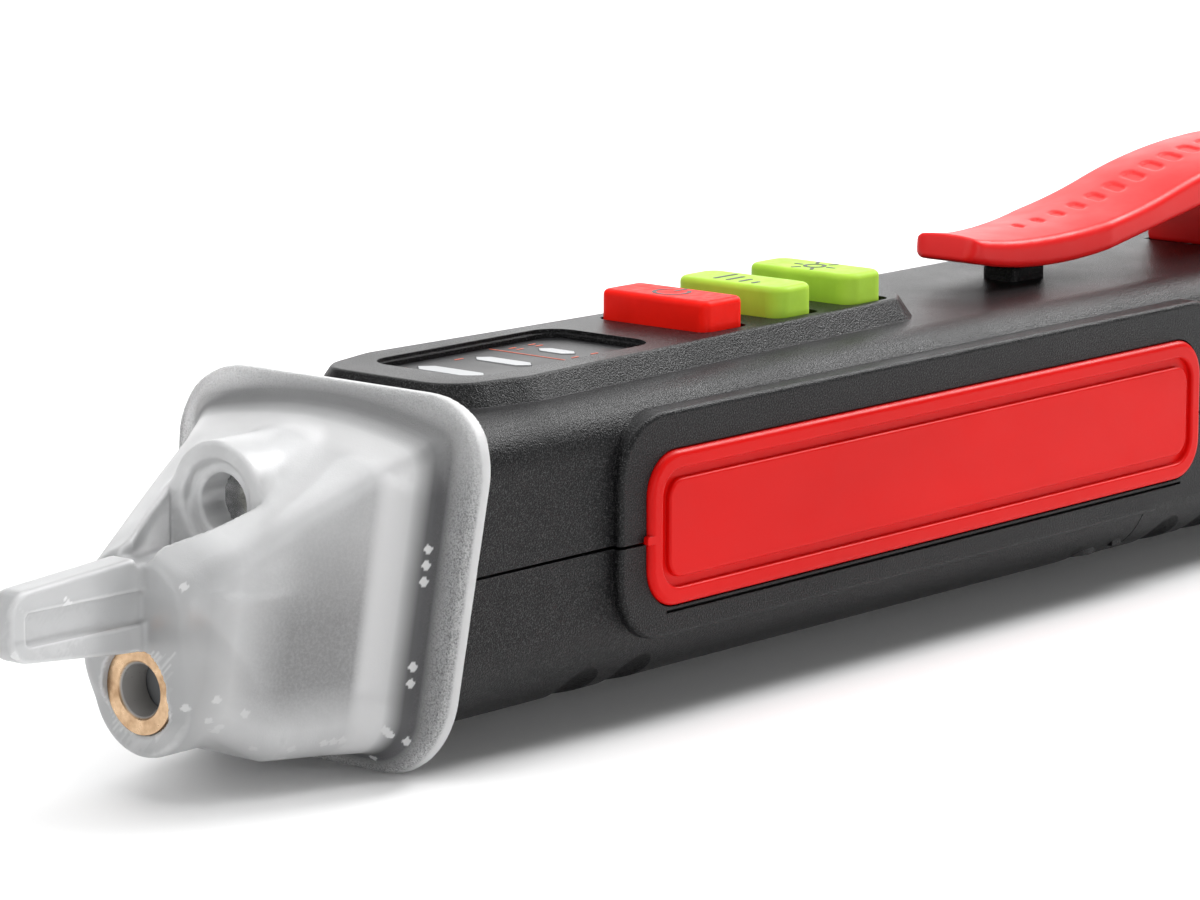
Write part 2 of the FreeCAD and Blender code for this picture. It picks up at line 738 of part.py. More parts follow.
def sensor_nose():
    """The translucent nose: collar, tapered dome, front block, sensing blade and torch hood."""
    body = new_body("sensor_nose")
    lean = sizes.rake_angle.value
    pad(body, collar_sketch(body, sizes.collar_front), sizes.collar_thick)
    soften("Fillet", body, 0.6, lambda e, m: True)
    front = across(body, 0.4)
    box_outline(front, -5.0, 5.0, -4.5, 8.7, 1.6)
    rear = across(body, sizes.collar_front + 0.4, lean)
    outline(rear, [(-8.8, -5.7, 3.2), (8.8, -5.7, 3.2), (10.2, 15.2, 4.0), (-10.2, 15.2, 4.0)])
    loft("AdditiveLoft", body, front, rear)
    barrel = across(body, -0.3)
    circle(barrel, 0, 0, 4.6)
    pad(body, barrel, 9.0)
    block = across(body, -1.0)
    outline(block, [(-5.0, -0.6), (5.0, -0.6), (5.0, 8.8, 1.6), (-5.0, 8.8, 1.6)])
    pad(body, block, 3.0)
    blade = beside(body)
    tip = sizes.blade_tip
    outline(blade, [(tip, 3.9, 1.7), (0.5, 2.7), (0.5, 9.3), (tip, 8.5, 1.7)])
    pad(body, blade, sizes.blade_thick, both=True)
    hood = across(body, sizes.hood_front)
    circle(hood, 0, sizes.torch_height, sizes.hood_radius)
    pad(body, hood, 10.0)
    skirt = across(body, sizes.collar_front + sizes.collar_thick / 2, lean)
    outline(skirt, [(-10.3, -2.6, 4.0), (10.3, -2.6, 4.0), (10.3, 14.3, 1.8), (-10.3, 14.3, 1.8)])
    pad(body, skirt, 6.0)
    throat = across(body, sizes.collar_front + 8.0, lean)
    outline(throat, [(-9.1, -1.8, 3.0), (9.1, -1.8, 3.0), (9.1, 13.1, 1.0), (-9.1, 13.1, 1.0)])
    pocket(body, throat, 8.2)
    cavity_front = across(body, 3.0)
    box_outline(cavity_front, -3.3, 3.3, -2.6, 5.0, 0.8)
    cavity_rear = across(body, sizes.collar_front, lean)
    outline(cavity_rear, [(-7.4, -4.2, 2.0), (7.4, -4.2, 2.0), (8.6, 13.1, 2.4), (-8.6, 13.1, 2.4)])
    loft("SubtractiveLoft", body, cavity_front, cavity_rear)
    laser_bore = across(body, -0.4)
    circle(laser_bore, 0, 0, sizes.laser_radius + 0.05)
    pocket(body, laser_bore, 12.0, flip=True)
    mouth = across(body, sizes.hood_front - 0.1)
    circle(mouth, 0, sizes.torch_height, 3.2)
    pocket(body, mouth, 0.8, flip=True)
    light_way = across(body, sizes.hood_front)
    circle(light_way, 0, sizes.torch_height, 2.1)
    pocket(body, light_way, 4.0, flip=True)
    torch_bore = across(body, sizes.hood_front + 3.1)
    circle(torch_bore, 0, sizes.torch_height, 3.2)
    pocket(body, torch_bore, 6.9, flip=True)
    trough = beside(body)
    outline(trough, [(1.4, 9.0), (7.4, 8.15), (7.4, 20.0), (-3.0, 20.0)])
    pocket(body, trough, 6.2, both=True)
    return body


def turned(label, points, height=0.0):
    """A part turned about an axis along the pen at a height, from its half section."""
    body = new_body(label)
    sketch = beside(body)
    outline(sketch, points)
    revolve(body, sketch)
    if as_size(height).value:
        shift = as_size(height) + sizes.stand_height
        body.setExpression("Placement.Base.z", shift.formula)
        doc.recompute()
    return body


def laser_parts():
    """Brass barrel with its lens and diode, and two wires up to the circuit board."""
    radius, long, recess = sizes.laser_radius, sizes.laser_long, sizes.laser_recess
    turned("laser_barrel", [
        (0, 2.0), (0, radius), (long, radius), (long, 2.3), (recess, 2.3), (recess, 1.8), (0.2, 1.8),
    ])
    turned("laser_lens", [(recess + 0.05, 0), (recess + 0.15, 2.25), (recess + 1.0, 2.25), (recess + 1.35, 0)])
    turned("laser_diode", [(7.2, 0), (7.2, 1.6), (9.6, 1.6), (9.6, 2.25), (10.8, 2.25), (10.8, 0)])
    solids = []
    for side in (-0.9, 0.9):
        points = [(10.85, side, 0), (16.5, side, 0), (22.0, side, 8.7), (28.0, side, 8.7)]
        solids.append(wire_solid(points, 1.6, 0.25))
    add_shape("laser_leads", Part.makeCompound(solids))


def torch_parts():
    """Chromed reflector and its lamp in the hood, and two pins back to the circuit board."""
    front = 10.5
    rear = front + 6.6
    turned("torch_reflector", [
        (front, 2.9), (front, 3.15), (front + 5.2, 3.15), (front + 5.2, 1.6), (front + 4.2, 1.6),
    ], sizes.torch_height)
    turned("torch_led", [
        (front + 1.9, 0), (front + 2.3, 1.1), (front + 3.2, 1.5), (rear, 1.5), (rear, 0),
    ], sizes.torch_height)
    solids = []
    for side in (-0.9, 0.9):
        start = FreeCAD.Vector(rear, side, sizes.board_top.value + 0.3)
        solids.append(Part.makeCylinder(0.25, 11.0, start, FreeCAD.Vector(1, 0, 0)))
    add_shape("torch_leads", Part.makeCompound(solids))


def sensor_antenna():
    """The sensing wire from the circuit board's edge down into the root of the blade."""
    height = sizes.board_top.value - sizes.board_thick.value - 0.4
    points = [(3.4, 0, 4.2), (12.0, 0, 4.2), (19.0, 3.6, height), (29.0, 3.6, height)]
    add_shape("sensor_antenna", wire_solid(points, 2.5, 0.35))


# ---- side inserts, panel and light guides -------------------------------------------------------


def inside_rim(middle):
    """True on the groove of an insert, away from its outer edge."""
    inset = 1.28
    along = sizes.insert_front.value + inset < middle.x < sizes.insert_rear.value - inset
    up = sizes.insert_low.value + inset < middle.z < sizes.insert_top.value - inset
    return along and up


def side_insert(label, side):
    """A red insert: raised rim, groove and raised field, seated in one side pad's recess."""
    body = new_body(label)
    outer = beside(body, sizes.insert_face * -side)
    limits = (sizes.insert_front, sizes.insert_rear, sizes.insert_low, sizes.insert_top)
    box_outline(outer, *limits, sizes.insert_round)
    thick = sizes.insert_face - sizes.recess_floor - 0.05
    pad(body, outer, thick, flip=side < 0)
    face = sizes.insert_face.value
    soften("Fillet", body, 0.5, lambda e, m: near(abs(m.y), face))
    groove = beside(body, sizes.insert_face * -side)
    for inset in (1.3, 2.0):
        front, rear, low, high = limits
        radius = sizes.insert_round - inset * 0.8
        box_outline(groove, front + inset, rear - inset, low + inset, high - inset, radius)
    pocket(body, groove, 0.45, flip=side > 0)
    soften("Fillet", body, 0.2, lambda e, m: near(abs(m.y), face) and inside_rim(m))
    nub = beside(body, sizes.insert_face * -side)
    seam = sizes.seam_height
    box_outline(nub, sizes.insert_front - 0.4, sizes.insert_front + 0.8, seam - 0.1, seam + 0.5, 0.2)
    pad(body, nub, sizes.insert_face - sizes.pad_half - 0.02, flip=side < 0)
    return body


def indicator_panel():
    """The thin black panel in the deck's recess, with openings for the light guides."""
    body = new_body("indicator_panel")
    sketch = above(body, sizes.window_floor + 0.02)
    box_outline(sketch, *panel_limits(0), 1.4)
    pad(body, sketch, sizes.panel_top - sizes.window_floor - 0.02)
    soften("Fillet", body, 0.15, lambda e, m: near(m.z, sizes.panel_top.value))
    for middle, long_half, wide in guide_places():
        hole = above(body, sizes.deck_top)
        hexagon(hole, middle, long_half + 0.05, wide + 0.1)
        pocket(body, hole, 2.0)


def light_guides():
    """Three white light guides, from the indicator lamps up to the panel."""
    for name, (middle, long_half, wide) in zip(("large", "medium", "small"), guide_places()):
        body = new_body(f"{name}_light_guide")
        top = sizes.panel_top + 0.05
        low = sizes.board_top + 1.3
        sketch = above(body, low)
        hexagon(sketch, middle, long_half, wide)
        pad(body, sketch, top - low)
        stop = above(body, sizes.body_top - sizes.wall - 1.0)
        box_outline(stop, middle - wide / 2 - 0.5, middle + wide / 2 + 0.5, -long_half, long_half)
        pad(body, stop, 0.9)


# ---- buttons and electronics --------------------------------------------------------------------


def button_middle(number):
    """Middle of a button along the pen."""
    return sizes.button_front + sizes.button_pitch * number + sizes.button_long / 2


def buttons():
    """Three push buttons with inner flanges, their plungers and their switches."""
    under = sizes.body_top - sizes.wall
    flange_top = under - 0.1
    flange_low = flange_top - 0.9
    half_long, half_wide = sizes.button_long / 2, sizes.button_wide / 2
    for number, name in enumerate(BUTTON_NAMES):
        middle = button_middle(number)
        cap = new_body(f"{name}_button")
        sketch = above(cap, flange_low)
        rounding = 0.7 if number == 0 else 1.3
        box_outline(sketch, middle - half_long, middle + half_long, -half_wide, half_wide, rounding)
        pad(cap, sketch, sizes.button_top - flange_low)
        soften("Fillet", cap, 0.45, lambda e, m: near(m.z, sizes.button_top.value))
        flange = above(cap, flange_low)
        box_outline(flange, middle - half_long - 0.8, middle + half_long + 0.8,
                    -half_wide - 0.8, half_wide + 0.8)
        pad(cap, flange, 0.9)
        switch_top = sizes.board_top + 2.4
        plunger = new_body(f"{name}_plunger")
        stem = above(plunger, switch_top - 1.0)
        circle(stem, middle, 0, 1.1)
        pad(plunger, stem, flange_low - switch_top + 1.0)
        switch = new_body(f"{name}_switch")
        base = above(switch, sizes.board_top)
        box_outline(base, middle - 2.25, middle + 2.25, -2.25, 2.25)
        pad(switch, base, 2.4)
        soften("Chamfer", switch, 0.25, lambda e, m: near(m.z, switch_top.value))
        bore = above(switch, switch_top)
        circle(bore, middle, 0, 1.16)
        pocket(switch, bore, 1.0 + sizes.button_travel + 0.1)


def board_part(label, places, height, below=False):
    """Small square-cornered components on the circuit board, at (x, y, length, width)."""
    solids = []
    board_low = sizes.board_top.value - sizes.board_thick.value
    for x, y, length, width in places:
        base = board_low - height if below else sizes.board_top.value
        corner = FreeCAD.Vector(x - length / 2, y - width / 2, base)
        solids.append(Part.makeBox(length, width, height, corner))
    shape = solids[0] if len(solids) == 1 else Part.makeCompound(solids)
    add_shape(label, shape)


def electronics():
    """Circuit board, controller, indicator lamps, buzzer and small components."""
    board = new_body("circuit_board")
    sketch = above(board, sizes.board_top)
    half = sizes.board_half
    box_outline(sketch, sizes.board_front, sizes.board_rear, -half, half, 1.0)
    pad(board, sketch, sizes.board_thick, flip=True)
    buzzer = new_body("buzzer")
    can = above(buzzer, sizes.board_top)
    circle(can, 83.5, 0, 4.5)
    pad(buzzer, can, 3.6)
    soften("Fillet", buzzer, 0.3, lambda e, m: near(m.z, sizes.board_top.value + 3.6))
    port = above(buzzer, sizes.board_top + 3.6)
    circle(port, 83.5, 0, 0.8)
    pocket(buzzer, port, 0.8)
    board_part("controller_chip", [(50.0, 0, 7.0, 7.0)], 1.3, below=True)
    lamps = [(middle, 0, 1.6, 3.0) for middle, _, _ in guide_places()]
    board_part("indicator_leds", lamps, 0.9)
    small = [(x, y, 1.6, 0.9) for x in (62.0, 66.0, 70.0, 74.0) for y in (-4.0, 4.0)]
    board_part("chip_components", small, 0.7, below=True)


# ---- cells and contacts -------------------------------------------------------------------------


def cells():
    """Two AAA cells side by side, pointing opposite ways."""
    stud, radius, long = sizes.stud_long, sizes.cell_radius, sizes.cell_long
    for label, side, start, forward in (
        ("battery_left", -1, sizes.bay_front + 0.7, True),
        ("battery_right", 1, sizes.tail_end - sizes.wall - 0.7, False),
    ):
        body = new_body(label)
        sketch = beside(body)
        way = 1 if forward else -1
        points = [
            (start, 0), (start, 1.9), (start + stud * way, 1.9), (start + stud * way, radius),
            (start + (stud + long) * way, radius), (start + (stud + long) * way, 0),
        ]
        outline(sketch, points)
        revolve(body, sketch)
        body.setExpression("Placement.Base.y", (sizes.cell_side * side).formula)
        body.setExpression("Placement.Base.z", (sizes.cell_height + sizes.stand_height).formula)
        doc.recompute()
        soften("Fillet", body, 0.5, lambda e, m: near(abs(m.z), radius.value, 0.3) and e.Closed
               or near(abs(m.y), radius.value, 0.3) and e.Closed)


def leaf(label, side, wall_at, way, sprung, tab):
    """A contact strip bent from sheet: flat for a stud, a sprung leaf for a cell's flat end."""
    body = new_body(label)
    thick = 0.3
    x = [wall_at, wall_at + thick * way]
    sketch = beside(body, sizes.cell_side * -side + 2.5)
    height = sizes.cell_height
    if sprung:
        reach = wall_at + 3.4 * way
        outline(sketch, [
            (x[0], height - 4.0), (reach, height - 0.4), (reach, height + 0.4),
            (x[1] + 0.25 * way, height + 3.2), (x[1], 8.9), (x[0], 8.9),
            (x[0], height + 3.0), (reach - thick * 1.3 * way, height), (x[0], height - 3.6),
        ])
    else:
        bump = wall_at + 0.62 * way
        outline(sketch, [
            (x[0], height - 4.0), (x[1], height - 4.0), (x[1], height - 1.2), (bump, height - 0.8),
            (bump, height + 0.8), (x[1], height + 1.2), (x[1], 8.9), (x[0], 8.9),
        ])
    pad(body, sketch, 5.0, flip=True)
    if tab:
        strip = above(body, 8.6)
        limits = sorted((side * 2.4, side * 4.8))
        box_outline(strip, 87.0, wall_at + 0.1, limits[0], limits[1])
        pad(body, strip, 0.3)
    return body


def contacts():
    """Front contacts for each cell, and the bridge that joins them at the tail."""
    front = sizes.bay_front.value + 0.02
    rear = sizes.tail_end.value - sizes.wall.value - 0.02
    leaf("positive_contact", -1, front, 1, False, True)
    leaf("negative_contact", 1, front, 1, True, True)
    bridge = leaf("bridge_contact", 1, rear, -1, False, False)
    far = beside(bridge, sizes.cell_side + 2.5)
    height = sizes.cell_height
    outline(far, [
        (rear, height - 4.0), (rear - 3.4, height - 0.4), (rear - 3.4, height + 0.4),
        (rear - 0.55, height + 3.2), (rear - 0.3, 8.9), (rear, 8.9),
        (rear, height + 3.0), (rear - 3.0, height), (rear, height - 3.6),
    ])
    pad(bridge, far, 5.0, flip=True)
    link = across(bridge, rear - 0.3)
    box_outline(link, -7.0, 7.0, 7.0, 8.9)
    pad(bridge, link, 0.3)


# ---- clip ---------------------------------------------------------------------------------------

CLIP_DIMPLE_PITCH = 2.65
FIRST_DIMPLE = 97.4
DIMPLE_LONG, DIMPLE_HALF, DIMPLE_DEPTH = 1.2, 1.0, 0.3
CLIP_CREST = 130.0  # where the clip's back is highest
CLIP_END = 146.0
CLIP_FOOT_REAR = 143.0
CLIP_FOOT_HALF = 4.4


def clip_seat(gap):
    """Front, rear, right and left limits of the clip base's foot."""
    narrow = CLIP_FOOT_HALF + gap
    return sizes.clip_root + 0.2 - gap, CLIP_FOOT_REAR + gap, -narrow, narrow


def clip_tongue(gap):
    """Limits of the tongue under the foot that goes through the housing."""
    return 124.0 - gap, 138.0 + gap, -2.6 - gap, 2.6 + gap


def bowl(along, low_at, low, front_bend, rear_bend):
    """Height on two arcs that meet at a lowest point."""
    step = along - low_at
    bend = front_bend if step < 0 else rear_bend
    return low + bend - math.sqrt(bend**2 - step**2)


def straight_from():
    """Where the arm's underside turns from its arc to a straight slope."""
    rise = math.radians(sizes.clip_rise.value)
    return sizes.clip_low_at.value + sizes.clip_bend.value * math.sin(rise)


def arm_underside(along):
    """Height of the arm's underside at a distance along the pen."""
    limits = (sizes.clip_low_at.value, sizes.clip_low.value)
    bends = (sizes.clip_tip_bend.value, sizes.clip_bend.value)
    start = straight_from()
    height = bowl(min(along, start), *limits, *bends)
    return height + max(0.0, along - start) * math.tan(math.radians(sizes.clip_rise.value))


def clip_back(along):
    """Height of the clip's back: hollow over the arm, then domed over the base."""
    limits = (sizes.clip_back_at.value, sizes.clip_back.value)
    bends = (sizes.clip_back_tip_bend.value, sizes.clip_back_bend.value)
    turn = sizes.clip_back_turn.value
    if along <= turn:
        return bowl(along, *limits, *bends)
    slope = math.asin((turn - limits[0]) / bends[1])
    bend = (CLIP_CREST - turn) / math.sin(slope)
    crest = bowl(turn, *limits, *bends) + bend * (1 - math.cos(slope))
    return crest - bend + math.sqrt(bend**2 - (along - CLIP_CREST) ** 2)


def arc_through(*points):
    """An arc edge through three (x, z) points in the pen's middle plane."""
    return Part.Arc(*(FreeCAD.Vector(x, 0, z) for x, z in points)).toShape()


def arc_on(curve, first, last):
    """An arc edge on a curve of heights between two distances along the pen."""
    return arc_through(*((x, curve(x)) for x in (first, (first + last) / 2, last)))


def line_between(first, second):
    """A straight edge between two (x, z) points in the pen's middle plane."""
    ends = [FreeCAD.Vector(x, 0, z) for x, z in (first, second)]
    return Part.LineSegment(*ends).toShape()


def slab_from(edges, half):
    """A plate of a given half width from a closed side outline."""
    face = Part.Face(Part.Wire(edges))
    face.translate(FreeCAD.Vector(0, -half, 0))
    return face.extrude(FreeCAD.Vector(0, 2 * half, 0))


def dimples(along_first, along_last):
    """Slanted shallow pockets along the back of the clip."""
    tools = []
    count = int((along_last - along_first) / CLIP_DIMPLE_PITCH) + 1
    for number in range(count):
        along = along_first + number * CLIP_DIMPLE_PITCH
        corner = FreeCAD.Vector(-DIMPLE_LONG / 2, -DIMPLE_HALF, -DIMPLE_DEPTH)
        tool = Part.makeBox(DIMPLE_LONG, 2 * DIMPLE_HALF, 2.0, corner)
        tool.rotate(FreeCAD.Vector(), FreeCAD.Vector(0, 0, 1), 20)
        slope = clip_back(along + 0.5) - clip_back(along - 0.5)
        tool.rotate(FreeCAD.Vector(), FreeCAD.Vector(0, 1, 0), -math.degrees(math.atan(slope)))
        tool.translate(FreeCAD.Vector(along, 0, clip_back(along)))
        tools.append(tool)
    return tools


def arm_plan(end):
    """The arm seen from above, as a tall prism: narrow at the tip, full width from its middle."""
    tip, half = sizes.clip_tip.value - 0.01, sizes.clip_half.value
    sides = [(tip, sizes.clip_tip_half.value), (sizes.clip_full_at.value, half), (end, half)]
    spots = [(x, -y) for x, y in sides] + [(x, y) for x, y in reversed(sides)]
    corners = [FreeCAD.Vector(x, y, sizes.body_top.value) for x, y in spots]
    face = Part.Face(Part.makePolygon(corners + corners[:1]))
    prism = face.extrude(FreeCAD.Vector(0, 0, 20))
    upright = [edge for edge in prism.Edges if straight(edge, (0, 0, 1)) and edge.Vertexes[0].X < tip + 1]
    return prism.makeFillet(1.2, upright)


def clip_arm():
    """The springy arm of the pocket clip, from its curled tip to its root."""
    tip, low_at = sizes.clip_tip.value, sizes.clip_low_at.value
    back_at, turn = sizes.clip_back_at.value, sizes.clip_back_turn.value
    end = sizes.clip_root.value - 0.05
    lip = tip + 0.5
    bend_end = straight_from()
    edges = [
        arc_on(arm_underside, tip, low_at),
        arc_on(arm_underside, low_at, bend_end),
        line_between((bend_end, arm_underside(bend_end)), (end, arm_underside(end))),
        line_between((end, arm_underside(end)), (end, clip_back(end))),
        arc_on(clip_back, end, turn),
        arc_on(clip_back, turn, back_at),
        arc_on(clip_back, back_at, lip),
        line_between((lip, clip_back(lip)), (tip, arm_underside(tip))),
    ]
    arm = slab_from(edges, sizes.clip_half.value).common(arm_plan(end))
    for tool in dimples(FIRST_DIMPLE, end - 1.2):
        arm = arm.cut(tool)
    add_shape("clip_arm", arm)


def clip_base():
    """The fixed part of the pocket clip: its foot on the housing and the tongue through the wall."""
    root, half = sizes.clip_root.value, sizes.clip_half.value
    top = sizes.body_top.value
    foot = top - 0.75
    heel = root + 0.2
    under = arm_underside(root) + 0.02
    shoulder = (CLIP_END, clip_back(CLIP_END) - 5.0)
    bend = 141.5
    edges = [
        line_between((heel, foot), (heel, under - 0.35)),
        line_between((heel, under - 0.35), (root, under)),
        line_between((root, under), (root, clip_back(root))),
        arc_on(clip_back, root, CLIP_CREST),
        arc_on(clip_back, CLIP_CREST, bend),
        arc_through((bend, clip_back(bend)), (144.9, clip_back(bend) - 1.7), shoulder),
        line_between(shoulder, (CLIP_END, top + 0.1)),
        line_between((CLIP_END, top + 0.1), (CLIP_FOOT_REAR, top + 0.1)),
        line_between((CLIP_FOOT_REAR, top + 0.1), (CLIP_FOOT_REAR, foot)),
        line_between((CLIP_FOOT_REAR, foot), (heel, foot)),
    ]
    block = slab_from(edges, half)
    for side in (-1, 1):
        y = CLIP_FOOT_HALF if side > 0 else -half - 1
        corner = FreeCAD.Vector(root - 1, y, foot - 0.05)
        block = block.cut(Part.makeBox(60, half + 1 - CLIP_FOOT_HALF, 3.2, corner))
    front, last, right, left = [as_size(limit).value for limit in clip_tongue(0.0)]
    tongue = Part.makeBox(last - front, left - right, 2.2, FreeCAD.Vector(front, right, foot - 2.0))
    block = block.fuse(tongue).removeSplitter()
    first = FIRST_DIMPLE
    while first < root + 1.0:
        first += CLIP_DIMPLE_PITCH
    for tool in dimples(first, 138.0):
        block = block.cut(tool)
    add_shape("clip_base", block)


def case_screws():
    """Two self-tapping screws that hold the shells together, driven from below."""
    solids = []
    for side in (-1, 1):
        y = sizes.screw_side.value * side
        at = sizes.screw_at.value
        seat = sizes.body_low.value + 3.0
        head = Part.makeCylinder(1.8, 1.4, FreeCAD.Vector(at, y, seat - 1.4))
        shank = Part.makeCylinder(1.0, 11.4, FreeCAD.Vector(at, y, seat - 0.2))
        screw = head.fuse(shank)
        for turn in (0, 90):
            bar = Part.makeBox(2.2, 0.5, 0.8, FreeCAD.Vector(-1.1, -0.25, 0))
            bar.rotate(FreeCAD.Vector(), FreeCAD.Vector(0, 0, 1), turn)
            bar.translate(FreeCAD.Vector(at, y, seat - 1.4))
            screw = screw.cut(bar)
        solids.append(screw)
    add_shape("case_screws", Part.makeCompound(solids))


# ---- build and write ----------------------------------------------------------------------------


def check_document():
    """Stop if any feature failed, or if a sub-part has no valid shape."""
    doc.recompute()
    for thing in doc.Objects:
        if "Invalid" in thing.State or "Error" in thing.State:
            raise RuntimeError(f"{thing.Name} failed: {thing.State}")


def sub_parts():
    """Every sub-part of the pen."""
    return [thing for thing in doc.Objects if thing.TypeId in ("PartDesign::Body", "Part::Feature")]


def main():
    """Build every sub-part, check it and write it."""
    sensor_nose()
    upper_shell()
    lower_shell()
    battery_door()
    side_insert("left_insert", -1)
    side_insert("right_insert", 1)
    indicator_panel()
    light_guides()
    buttons()
    electronics()
    laser_parts()
    torch_parts()
    sensor_antenna()
    cells()
    contacts()
    clip_arm()
    clip_base()
    case_screws()
    check_document()
    os.makedirs("parts", exist_ok=True)
    for part in sub_parts():
        if part.Shape.isNull() or not part.Shape.isValid():
            raise RuntimeError(f"{part.Label} has no valid shape")
        part.Shape.exportStep(f"parts/{part.Label}.step")


main()
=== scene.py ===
import json
import math

import bpy
import numpy as np
from mathutils import Matrix, Vector


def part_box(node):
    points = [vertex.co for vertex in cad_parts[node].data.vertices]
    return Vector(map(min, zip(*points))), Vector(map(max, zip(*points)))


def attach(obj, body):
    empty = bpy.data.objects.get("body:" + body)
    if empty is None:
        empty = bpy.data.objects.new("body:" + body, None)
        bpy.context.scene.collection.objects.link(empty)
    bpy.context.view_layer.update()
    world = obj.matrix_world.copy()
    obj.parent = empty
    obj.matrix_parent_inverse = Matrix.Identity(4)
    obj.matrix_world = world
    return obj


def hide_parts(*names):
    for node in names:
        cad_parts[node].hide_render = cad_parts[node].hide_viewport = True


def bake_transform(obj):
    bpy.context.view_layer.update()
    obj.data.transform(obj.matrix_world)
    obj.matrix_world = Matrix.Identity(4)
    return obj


# Looks of a non contact voltage tester: a frosted nose with a sensing blade, a spark-textured
# black housing with red inserts, soft push buttons, a laser ring, a torch and a pocket clip.

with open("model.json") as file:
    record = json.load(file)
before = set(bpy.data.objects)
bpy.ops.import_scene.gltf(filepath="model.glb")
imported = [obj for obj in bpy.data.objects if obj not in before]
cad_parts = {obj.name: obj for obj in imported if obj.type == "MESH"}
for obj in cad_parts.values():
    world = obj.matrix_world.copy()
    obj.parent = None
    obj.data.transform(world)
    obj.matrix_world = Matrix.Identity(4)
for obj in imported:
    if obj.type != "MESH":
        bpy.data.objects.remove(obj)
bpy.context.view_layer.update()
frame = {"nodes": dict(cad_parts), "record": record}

MM = 0.001

# ---- the pen's own datum: X from the laser ring's front face, Z from the laser's axis ----------

ring_low, ring_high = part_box("laser_barrel")
DATUM = np.array([ring_low[0], (ring_low[1] + ring_high[1]) / 2, (ring_low[2] + ring_high[2]) / 2])


def to_frame(points):
    """Datum millimetres to frame metres."""
    return np.asarray(points, float) * MM + DATUM


# ---- camera -------------------------------------------------------------------------------------

CAMERA_AT = (-234.756, -240.703, 78.868)  # from the datum, in mm
CAMERA_YAW = math.radians(40.553)  # heading, from +X towards +Y
CAMERA_PITCH = math.radians(10.611)  # looking down
CAMERA_ROLL = -0.0018
LENS = 156.9


def make_camera():
    """The camera, looking down at the nose end of the pen lying on a table."""
    forward = Vector((
        math.cos(CAMERA_PITCH) * math.cos(CAMERA_YAW),
        math.cos(CAMERA_PITCH) * math.sin(CAMERA_YAW),
        -math.sin(CAMERA_PITCH),
    ))
    right = Vector((math.sin(CAMERA_YAW), -math.cos(CAMERA_YAW), 0))
    down = forward.cross(right)
    turned = right * math.cos(CAMERA_ROLL) + down * math.sin(CAMERA_ROLL)
    up = -(down * math.cos(CAMERA_ROLL) - right * math.sin(CAMERA_ROLL))
    data = bpy.data.cameras.new("camera")
    data.lens = LENS
    data.sensor_width = 36
    data.clip_start, data.clip_end = 0.01, 20
    camera = bpy.data.objects.new("camera", data)
    columns = Matrix((turned, up, -forward)).transposed().to_4x4()
    columns.translation = Vector(to_frame(CAMERA_AT))
    camera.matrix_world = columns
    bpy.context.collection.objects.link(camera)
    bpy.context.scene.camera = camera


make_camera()

# ---- node helpers -------------------------------------------------------------------------------


